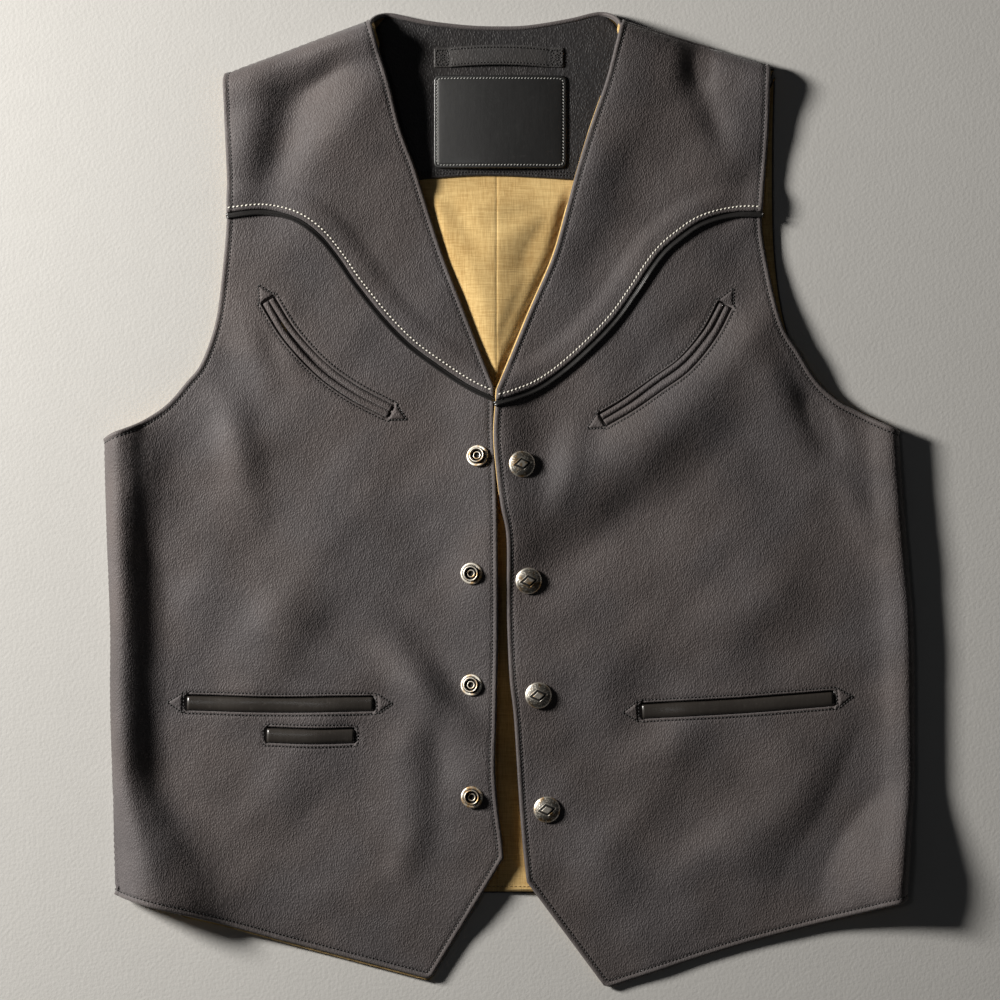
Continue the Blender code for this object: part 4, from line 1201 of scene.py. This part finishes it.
# Arrowheads: triangles along a side, the step along a pocket's curve that gives their
# direction, the levels of their foot and rim, their wear, and their stitch row's size
ARROW_STEPS = 9
ARROW_CURVE_STEP = 11.0
ARROW_FOOT = LEATHER - 0.3
ARROW_RIM = LEATHER + 0.15
ARROW_WEAR = 0.15
ARROW_ROW = 1.12
ARROW_SWELL = (Level(0, -0.1), Level(0.4, 0.35), Level(1.0, 0.6), Level(3.0, 0.75))


def arrow_corners(side, arrow):
    """The two corners at the foot and the tip of each arrowhead of a kind."""
    curve = smooth(arrow.curves[side], ARROW_CURVE_STEP)
    for base, behind in ((curve[0], curve[1]), (curve[-1], curve[-2])):
        ahead = (base - behind) / np.linalg.norm(base - behind)
        across = np.array([-ahead[1], ahead[0]]) * arrow.width / 2
        start = base + ahead * arrow.gap
        yield np.array([start - across, start + across, start + ahead * arrow.length])


def arrowhead(side, corners):
    """A padded triangle on a front."""
    steps = ARROW_STEPS
    spots = [(i, j) for i in range(steps + 1) for j in range(steps + 1 - i)]
    index = {spot: at for at, spot in enumerate(spots)}
    pattern = np.array([(steps - i - j, i, j) for i, j in spots]) / steps @ corners
    faces = []
    for i in range(steps):
        for j in range(steps - i):
            faces.append((index[i, j], index[i + 1, j], index[i, j + 1]))
            if i + j < steps - 1:
                faces.append((index[i + 1, j], index[i + 1, j + 1], index[i, j + 1]))
    faces = np.array(faces)
    u, v = corners[1:] - corners[0]
    if u[0] * v[1] < u[1] * v[0]:
        faces = faces[:, ::-1]
    over = ARROW_RIM + levels(ARROW_SWELL, distance(pattern, closed(corners)))
    points = np.vstack([place(side, pattern, ARROW_FOOT), place(side, pattern, over)])
    return points, wall_faces(faces, len(pattern))


def make_arrows(side):
    heads, nodes = [], []
    for arrow in ARROWS:
        heads += [arrowhead(side, corners) for corners in arrow_corners(side, arrow)]
        nodes += [f"{arrow.pocket}_arrow_{end}_{side}" for end in ("outer", "inner")]
    points, faces = gathered(heads)
    piece(f"arrowheads_{side}", points, faces, "leather", nodes,
          np.full(len(points), ARROW_WEAR))


def make_front_stitches(side):
    surface = on_front(side)
    armhole, _, lower = EDGES[side]
    rows = [stitches(surface, inset(line, side, RIM_ROW), RIM_STITCH)
            for line in (armhole, lower)]
    rows += [stitches(surface, closed(slot_loop(curve, half, SLOT_ROW)), SLOT_STITCH)
             for curve, half in pockets(side)]
    for arrow in ARROWS:
        for corners in arrow_corners(side, arrow):
            middle = corners.mean(axis=0)
            grown = middle + (corners - middle) * ARROW_ROW
            rows.append(stitches(surface, grown[[0, 2, 1]], ARROW_STITCH))
    stitched(f"edge_stitches_{side}", rows, "dark")
    line = inset(YOKE_LINE[side], side, LAP_ROW)
    line = line[within(line, sideways(OUTLINE[side], SEAM_GAP, closed=True))]
    stitched(f"yoke_stitches_{side}", [stitches(surface, line, YOKE_STITCH)], "white")


# Back

SHOULDER_POINTS = 30


def shoulder_line(side):
    """The shoulder seam underneath, from the armhole to the neck."""
    outer, along, outwards = shoulder_frame(side)
    length = (np.array(BACK_NECK_END[side]) - outer) @ along
    run = np.linspace(SHOULDER_START[side], length, SHOULDER_POINTS)[:, None] * along
    return outer + run - outwards * (SEAM_INSIDE + SEAM_GAP)


def back_outline(reach=0.0):
    """The back, or one larger all round by `reach`."""
    right, left = (join(shoulder_line(side)[::-1], smooth(BACK_ARMHOLE[side], EDGE_PITCH),
                        side_seam(side, -SEAM_INSIDE - SEAM_GAP)) for side in SIDES)
    hem = even(np.array([right[-1], (0.0, BACK_HEM), left[-1]]), EDGE_PITCH)[1:-1]
    loop = join(right, hem, left[::-1], smooth(BACK_NECK, EDGE_PITCH)[::-1])
    return sideways(counterclockwise(loop), -reach, closed=True)


# Soft folds of the back lining inside the V of the neck
LINING_FOLDS = (
    Fold(-14, 160, 70, 26, 90, 3.4),
    Fold(30, 205, 26, 6, 12, -1.4),
    Fold(22, 178, 27, 8, 50, -2.0),
    Fold(-34, 196, 30, 7, -62, -1.0),
    Fold(4, 128, 34, 7, 66, -1.6),
    Fold(10, 192, 30, 8, 40, 1.0),
)
SEAM_DIP = (Level(0, -0.2), Level(0.6, -0.14), Level(1.4, 0.0), Level(2.2, 0.03),
            Level(3.5, 0.0))
LINING_RISE = 3.0
# The lining's folds start, and its rise comes, between these distances inside the opening, and
# both end between these heights, under the facing
FOLDS_START = (3.0, 16.0)
RISE_START = (0.5, 7.0)
RISE_END = (204, 223)
# How far each half of the lining stays from the centre back, and reaches past the back's edge
CENTRE_GAP = 0.02
LINING_REACH = -1.0

# The rolled edge of the neck: its size, its ends as seen from above, and where these join the
# fronts' edges
NECK_RIM_WIDTH = 3.4
NECK_RIM_SIDES = 12
NECK_RIM_WEAR = 0.9
NECK_CORNER = {"right": ((-74, 338.8), (-82, 340.4), (-88, 340.4), (-93.5, 338.6), (-97.6, 335),
                         (-98.9, 330.5), (-98.0, 325), (-96.2, 318)),
               "left": ((57, 340.4), (64, 341.3), (70, 340.3), (75.4, 337), (78.8, 332),
                        (79.2, 326), (77.6, 318))}
NECK_JOIN = {"right": (-96.5, 330), "left": (77.2, 330)}
# How far from its ends the rim meets the fronts' edges and comes down to its own level, how
# high on the fronts it ends and joins, and its levels at the back
JOIN_LENGTH = 9.0
JOIN_LIFT = LEATHER + 0.8
END_LIFT = LEATHER - 0.6
NECK_RIM_FOOT = 1.7
NECK_RIM_TOP = 5.9
NECK_CLIMB = 34.0


def neck_rim():
    """The rolled edge of the back's neck, which climbs at both ends to the fronts' edges."""
    line = smooth([*NECK_CORNER["right"][::-1], *BACK_NECK[3:-3], *NECK_CORNER["left"]],
                  EDGE_PITCH / 2)
    run = np.concatenate([[0], np.cumsum(np.linalg.norm(np.diff(line, axis=0), axis=1))])
    top = np.full(len(line), NECK_RIM_TOP)
    for side, end, way in (("right", line[0], run), ("left", line[-1], run[-1] - run)):
        joined = place(side, unrolled(side, [NECK_JOIN[side]]), JOIN_LIFT)[0, 2]
        sunk = place(side, unrolled(side, [end]), END_LIFT)[0, 2]
        top += (joined - NECK_RIM_TOP) * (1 - soft_step(way, JOIN_LENGTH, NECK_CLIMB))
        top += (sunk - joined) * (1 - soft_step(way, 0.0, JOIN_LENGTH))
    rings = []
    for angle in np.arange(NECK_RIM_SIDES) * 2 * math.pi / NECK_RIM_SIDES:
        across = NECK_RIM_WIDTH / 2 * (math.cos(angle) - 1)
        share = (1 + math.sin(angle)) / 2
        height = NECK_RIM_FOOT + (top - NECK_RIM_FOOT) * share
        rings.append(np.column_stack([sideways(line, across), height]))
    return tube(np.array(rings).transpose(1, 0, 2)[:, ::-1])


def vee():
    """The opening of the neck between the fronts."""
    right, left = (smooth(NECK[side], EDGE_PITCH) for side in SIDES)
    return counterclockwise(join(right, left[::-1]))


def make_back():
    pattern, faces = fine_sheet([back_outline()], pitch=LINING_PITCH)
    panel = np.vstack([flat(pattern, 0.0), flat(pattern, LEATHER)])
    points, sides = gathered([(panel, wall_faces(faces, len(pattern))), neck_rim()])
    wear = np.repeat([0.0, NECK_RIM_WEAR], [len(panel), len(points) - len(panel)])
    made = piece("leather_back", points, sides, "leather", ["back"], wear)
    declare(pattern, faces)


def make_back_lining(side):
    edge = CENTRE_BACK + SIGN[side] * CENTRE_GAP
    far = SIGN[side] * HALF_LENGTH
    seam = even(np.array([(edge, -HALF_LENGTH), (edge, HALF_LENGTH)]), EDGE_PITCH)
    half = np.vstack([seam, [(far, HALF_LENGTH), (far, -HALF_LENGTH)]])
    cut = fine_sheet([back_outline(LINING_REACH), counterclockwise(half)], (),
                     [(seam, SEAM_DIP, (-1, 1))], BACK_LINING_PITCH)
    pattern = cut[0]
    opening = vee()
    depth = distance(pattern, closed(opening)) * within(pattern, opening)
    lift = np.maximum(hump(LINING_FOLDS, pattern), 0) * soft_step(depth, *FOLDS_START)
    lift += LINING_RISE * soft_step(depth, *RISE_START)
    lift *= 1 - soft_step(pattern[:, 1], *RISE_END)
    lift += levels(SEAM_DIP, distance(pattern, seam))
    wall(f"canvas_back_{side}", cut, flat(pattern, BACK_LINING_FOOT + np.maximum(lift, 0)),
         flat(pattern, BACK_LINING_TOP + lift), "canvas", f"back_lining_{side}")


FACING_EDGE = (Level(0, -0.9), Level(0.4, -0.2), Level(0.9, 0.1), Level(1.8, 0.15),
               Level(2.6, -0.15), Level(3.2, -0.05), Level(4.2, 0.12), Level(5.0, -0.12),
               Level(6.0, 0.0))
# How far the facing's rows of stitches are above its lower edge, and the back's above its hem
FACING_ROWS = (2.7, 5.0)
HEM_ROW = 4.5
HEM_ROW_SPAN = (-70.0, 60.0)
# How far the facing reaches under the neck's rolled edge
FACING_TUCK = 0.9

# Small puckers along the facing's neck: their height, their turn in radians for each
# millimetre across, how much and how fast they sway, and where they come in
PUCKER_HEIGHT = 0.16
PUCKER_TURN = 1.55
PUCKER_SWAY = 1.3
SWAY_TURN = 0.21
PUCKER_START = (312, 326)


def facing_line(above):
    """The facing's lower edge, moved up."""
    return smooth(FACING_LOWER, EDGE_PITCH) + (0, above)


def make_facing():
    neck = sideways(smooth(BACK_NECK[1:-1], EDGE_PITCH), FACING_TUCK - NECK_RIM_WIDTH)
    lower = facing_line(0.0)
    loop = counterclockwise(join(neck, FACING_SIDES["left"], lower[::-1],
                                 FACING_SIDES["right"][::-1]))
    cut = fine_sheet([loop], (), [(lower, FACING_EDGE, (1,))], FACING_PITCH)
    pattern = cut[0]
    sway = PUCKER_SWAY * np.sin(pattern[:, 1] * SWAY_TURN)
    pucker = PUCKER_HEIGHT * np.sin(pattern[:, 0] * PUCKER_TURN + sway)
    pucker *= soft_step(pattern[:, 1], *PUCKER_START)
    top = FACING_TOP + levels(FACING_EDGE, distance(pattern, lower)) + pucker
    wall("leather_facing", cut, flat(pattern, FACING_FOOT), flat(pattern, top), "facing",
         "back_neck_facing",
         np.zeros(len(pattern)))


CORNER_STEPS = 6
# How much a corner's radius shrinks with the rectangle
CORNER_SHRINK = 0.6


def rounded(shrink=0.0):
    """The label's rectangle with round corners, smaller all round by `shrink`."""
    points = []
    radius = LABEL_CORNER - shrink * CORNER_SHRINK
    half = [size / 2 - shrink for size in LABEL_SIZE]
    for corner, (sx, sy) in enumerate(((1, 1), (-1, 1), (-1, -1), (1, -1))):
        for step in range(CORNER_STEPS + 1):
            angle = math.pi / 2 * (corner + step / CORNER_STEPS)
            points.append((LABEL_MIDDLE[0] + sx * (half[0] - radius) + radius * math.cos(angle),
                           LABEL_MIDDLE[1] + sy * (half[1] - radius) + radius * math.sin(angle)))
    return np.array(points)


LABEL_EDGE = (Level(0, -0.75), Level(0.25, -0.25), Level(0.7, 0.0), Level(1.3, 0.05),
              Level(1.8, -0.15), Level(2.2, -0.3), Level(2.6, -0.15), Level(3.2, 0.05),
              Level(4.4, 0.15), Level(6.0, 0.15))
LABEL_FOOT = FACING_TOP + SEAM_GAP
LABEL_TOP = LABEL_FOOT + 1.1
LABEL_ARCH = 3.6
LABEL_ROW = 2.2


def label_level(pattern):
    """The level of the label's face, which arches from side to side."""
    share = (pattern[:, 0] - LABEL_MIDDLE[0]) / LABEL_SIZE[0] * 2
    return LABEL_TOP + LABEL_ARCH * (1 - share**2)


def on_label(pattern, lift):
    """Places points on the label's face."""
    return flat(pattern, label_level(pattern) + lift)


def make_label():
    loop = even(rounded(), EDGE_PITCH / 2, closed=True)
    cut = fine_sheet([loop], (), [(closed(loop), LABEL_EDGE, (1,))], LABEL_PITCH)
    pattern = cut[0]
    top = label_level(pattern) + levels(LABEL_EDGE, distance(pattern, closed(loop)))
    wall("label", cut, flat(pattern, LABEL_FOOT), flat(pattern, top), "label", "label_patch")
    rows = [stitches(on_label, closed(rounded(LABEL_ROW)), LABEL_STITCH)]
    stitched("label_stitches", rows, "grey")


STRAP_EDGE = (Level(0, -0.7), Level(0.3, -0.2), Level(0.8, 0.05), Level(1.4, 0.05),
              Level(1.9, -0.15), Level(2.5, 0.0), Level(4.0, 0.05))
STRAP_WALL = 1.2
STRAP_WEAR = 0.2
# How far the strap's sewn ends are pressed down, and where from each end that fades out
STRAP_PRESS = 0.35
PRESS_SPAN = (STRAP_END - 1.2, STRAP_END + 1.0)
# How far stitch rows are from the strap's long edges, and where the crossed boxes start and
# end from the strap's ends
STRAP_ROW = 1.7
BOX_START = 1.6
BOX_END = STRAP_END - 1.0


def on_strap(pattern, lift):
    """Places points on the hanger strap: along it from its first end, and across it."""
    first, last = STRAP_SPAN
    free = last - first - 2 * STRAP_END
    share = np.clip((pattern[:, 0] - STRAP_END) / free, 0, 1)
    arch = np.sin(math.pi * share)**0.8 * STRAP_ARCH
    return np.column_stack([pattern[:, 0] + first, pattern[:, 1] + STRAP_MIDDLE + arch,
                            FACING_TOP + SEAM_GAP + arch + lift])


def make_hanger():
    length, half = STRAP_SPAN[1] - STRAP_SPAN[0], STRAP_WIDTH / 2
    corners = np.array([(0, -half), (length, -half), (length, half), (0, half)])
    loop = even(corners, STRAP_EDGE_PITCH, closed=True)
    cut = fine_sheet([loop], (), [(closed(loop), STRAP_EDGE, (1,))], STRAP_PITCH)
    pattern = cut[0]
    ends = np.minimum(pattern[:, 0], length - pattern[:, 0])
    pressed = STRAP_PRESS * (1 - soft_step(ends, *PRESS_SPAN))
    top = STRAP_WALL + levels(STRAP_EDGE, distance(pattern, closed(loop))) - pressed
    wall("hanger_strap", cut, on_strap(pattern, 0.0), on_strap(pattern, top), "strap",
         "hanger_loop", np.full(len(pattern), STRAP_WEAR))
    low, high = STRAP_ROW - half, half - STRAP_ROW
    rows = [stitches(on_strap, np.array([(STRAP_END, y), (length - STRAP_END, y)]),
                     STRAP_STITCH) for y in (low, high)]
    for start in (0.0, length - STRAP_END):
        a, b = start + BOX_START, start + BOX_END
        middle = (a + b) / 2
        lines = ([(a, low), (b, low), (b, high), (a, high), (a, low)],
                 [(a, low), (b, high)], [(a, high), (b, low)],
                 [(middle, low), (middle, high)], [(a, 0), (b, 0)])
        rows += [stitches(on_strap, np.array(line, float), CROSS_STITCH) for line in lines]
    stitched("hanger_stitches", rows, "dark")


def make_back_stitches():
    rows = [stitches(flat, facing_line(above), FACING_STITCH) for above in FACING_ROWS]
    stitched("facing_stitches", rows, "dark")
    hem = np.array([(x, BACK_HEM + HEM_ROW) for x in HEM_ROW_SPAN])
    stitched("back_hem_stitches", [stitches(flat, hem, HEM_STITCH)], "gold")


# Snap fasteners

CAP_RADIUS = 9.2
CAP_SIDES = 96
# A cap's dome: the level of its foot, its height, how flat its top is, and its rings
CAP_FOOT = 1.1
CAP_DOME = 2.5
CAP_DOME_POWER = 2.4
CAP_RINGS = np.linspace(8.3, 0.25, 40)
# The lozenge's tarnish and its groove's painted shade end between these shares of the dome's
# radius
GRIME_AND_SHADE_END = (0.86, 0.95)

# Sections of turned metal, with how soiled and shaded each ring is: the stud's hollows are
# painted near black as shade
Turned = namedtuple("Turned", "radius height grime")
CAP_RIM = (Turned(8.6, 0.0, 0.0), Turned(9.0, 0.12, 0.0), Turned(9.2, 0.45, 0.0),
           Turned(9.15, 0.85, 0.0), Turned(8.9, 1.15, 0.0), Turned(8.6, 1.35, 0.0))
LOZENGE = (6.0, 4.0)
LOZENGE_TURN = math.radians(10)
LOZENGE_RELIEF = (Level(0, 0.45), Level(0.62, 0.55), Level(0.7, 0.4), Level(0.78, -0.3),
                  Level(1.02, -0.35), Level(1.12, 0.15), Level(1.25, 0.0))
# How tarnished and shaded the cap is, against the distance from its lozenge: its groove is
# painted near black as shade
LOZENGE_GRIME_AND_SHADE = (Level(0, 0.1), Level(0.6, 0.0), Level(0.68, 1.0), Level(1.04, 1.0),
                 Level(1.12, 0.1), Level(1.25, 0.6), Level(1.5, 0.7))

STUD_SIDES = 48
# The stud's hollows, between its flange and its post, inside its post and down its hole, are
# painted near black as shade
STUD_SECTION = (
    Turned(7.2, 0.0, 0.0), Turned(7.6, 0.25, 0.0), Turned(7.75, 0.7, 0.0), Turned(7.5, 1.1, 0.0),
    Turned(6.9, 1.3, 0.0), Turned(6.3, 1.2, 0.2), Turned(5.6, 1.0, 1.0), Turned(5.1, 1.05, 1.0),
    Turned(4.75, 1.8, 0.6), Turned(4.75, 2.9, 0.2), Turned(4.95, 3.4, 0.0), Turned(5.2, 3.7, 0.0),
    Turned(5.15, 4.0, 0.0), Turned(4.8, 4.15, 0.0), Turned(4.4, 4.0, 0.0), Turned(4.2, 3.6, 0.7),
    Turned(4.1, 2.4, 1.0), Turned(4.0, 1.5, 1.0), Turned(3.4, 1.35, 1.0), Turned(3.0, 1.5, 0.9),
    Turned(2.85, 2.1, 0.0), Turned(2.65, 2.45, 0.0), Turned(2.3, 2.5, 0.0), Turned(2.0, 2.3, 0.3),
    Turned(1.85, 1.8, 1.0), Turned(1.8, 0.9, 1.0),
)
# The level that fasteners stand on, and what holds them upright against the leather's slope
SEAT_LIFT = LEATHER + 0.4
UPRIGHT = 0.8


def seat(points, side, spot, lean=(0.0, 0.0)):
    """Stand a fastener's points on the outer face of a front, leaning a little."""
    low, high = (place(side, [spot], lift)[0] for lift in (SEAT_LIFT, SEAT_LIFT + 1.0))
    up = high - low + (*lean, UPRIGHT)
    turn = np.array(Vector((0, 0, 1)).rotation_difference(Vector(up)).to_matrix())
    return low + points @ turn.T


def ring(radius, height, sides):
    """Points round a circle."""
    angles = np.arange(sides) * 2 * math.pi / sides
    return np.column_stack([radius * np.cos(angles), radius * np.sin(angles),
                            np.broadcast_to(height, sides)])


def cap_top(points):
    """The height of the cap's dome, with its raised lozenge, and its tarnish and painted shade,
    which is near black in the lozenge's groove.
    """
    x, y = points[:, 0], points[:, 1]
    turn, tilt = math.cos(LOZENGE_TURN), math.sin(LOZENGE_TURN)
    lozenge = abs(x * turn + y * tilt) / LOZENGE[0] + abs(y * turn - x * tilt) / LOZENGE[1]
    radius = np.hypot(x, y) / CAP_RADIUS
    dome = CAP_DOME * (1 - radius**CAP_DOME_POWER)
    grime = levels(LOZENGE_GRIME_AND_SHADE, lozenge) * (1 - soft_step(radius, *GRIME_AND_SHADE_END))
    return CAP_FOOT + dome + levels(LOZENGE_RELIEF, lozenge), grime


def make_caps():
    rings = [ring(row.radius, row.height, CAP_SIDES) for row in CAP_RIM]
    grime = [np.full(CAP_SIDES, row.grime) for row in CAP_RIM]
    for radius in CAP_RINGS:
        level = ring(radius, 0.0, CAP_SIDES)
        level[:, 2], dirt_and_shade = cap_top(level)
        rings.append(level)
        grime.append(dirt_and_shade)
    points, faces = tube(rings)
    wear = np.concatenate([*grime, [0.0, 0.0]])
    for number, spot in enumerate(CAPS, 1):
        piece(f"cap_{number}", seat(points, "left", spot), faces, "metal",
              [f"snap_cap_{number}"], wear)


# How far each stud leans across and along the vest
STUD_LEANS = ((-0.3, 0.3), (-0.1, 0.06), (-0.18, 0.18), (-0.08, 0.16))


def make_studs():
    points, faces = tube([ring(row.radius, row.height, STUD_SIDES) for row in STUD_SECTION])
    # The middle of the hole's floor is painted fully dark as shade
    wear = np.append(np.repeat([row.grime for row in STUD_SECTION], STUD_SIDES), [0.0, 1.0])
    for number, (spot, lean) in enumerate(zip(STUDS, STUD_LEANS), 1):
        piece(f"stud_{number}", seat(points, "right", spot, lean), faces, "metal",
              [f"snap_stud_{number}"], wear)


# Floor, light and camera, in metres

FLOOR_REACH = 4.0
FLOOR_LEVEL = -0.0004
Lamp = namedtuple("Lamp", "name spot size watts colour")
LAMPS = (
    Lamp("key", (-1.785, 0.65, 0.886), 0.45, 92.0, (1.0, 0.97, 0.92)),
    Lamp("overhead", (-0.46, 0.10, 2.2), 0.35, 0.6, (0.95, 0.97, 1.0)),
)
CAMERA_SPOT = (-0.00665, -0.0007, 2.6)
# The picture is as wide as the photograph at this level
PICTURE_LEVEL = 0.006
PICTURE_WIDTH = 0.7
SKY_COLOUR = (0.92, 0.95, 1.0, 1.0)
SKY_STRENGTH = 0.016


def make_floor():
    mesh = bpy.data.meshes.new("floor")
    corners = [(x * FLOOR_REACH, y * FLOOR_REACH, FLOOR_LEVEL)
               for x, y in ((-1, -1), (1, -1), (1, 1), (-1, 1))]
    mesh.from_pydata(corners, [], [(0, 1, 2, 3)])
    mesh.materials.append(plaster("pale_floor", shade=(0.47, 0.462, 0.445),
                                  pale=(0.54, 0.532, 0.515)))
    floor = bpy.data.objects.new("floor", mesh)
    bpy.context.scene.collection.objects.link(floor)


def make_light(lamp):
    light = bpy.data.lights.new(lamp.name, "AREA")
    light.shape = "DISK"
    light.size = lamp.size
    light.energy = lamp.watts
    light.color = lamp.colour
    made = bpy.data.objects.new(lamp.name, light)
    made.location = lamp.spot
    made.rotation_euler = Vector(lamp.spot).to_track_quat("Z", "Y").to_euler()
    bpy.context.scene.collection.objects.link(made)


def make_camera():
    """Straight above, with the photograph's middle in the middle of the picture."""
    lens = bpy.data.cameras.new("camera")
    lens.sensor_width = 36.0
    lens.lens = lens.sensor_width * (CAMERA_SPOT[2] - PICTURE_LEVEL) / PICTURE_WIDTH
    made = bpy.data.objects.new("camera", lens)
    made.location = CAMERA_SPOT
    bpy.context.scene.collection.objects.link(made)
    bpy.context.scene.camera = made


def make_world():
    world = bpy.data.worlds.new("studio")
    world.use_nodes = True
    sky = world.node_tree.nodes["Background"]
    sky.inputs["Color"].default_value = SKY_COLOUR
    sky.inputs["Strength"].default_value = SKY_STRENGTH
    scene = bpy.context.scene
    scene.world = world
    scene.view_settings.view_transform = "Standard"
    scene.view_settings.look = "None"


def main():
    make_camera()
    make_world()
    make_floor()
    for lamp in LAMPS:
        make_light(lamp)
    make_back()
    for side in SIDES:
        make_back_lining(side)
    make_facing()
    make_label()
    make_hanger()
    make_back_stitches()
    for side in SIDES:
        make_front(side)
        make_yoke(side)
        make_front_lining(side)
        make_piping(side)
        make_pockets(side)
        make_arrows(side)
        make_front_stitches(side)
    make_caps()
    make_studs()


main()
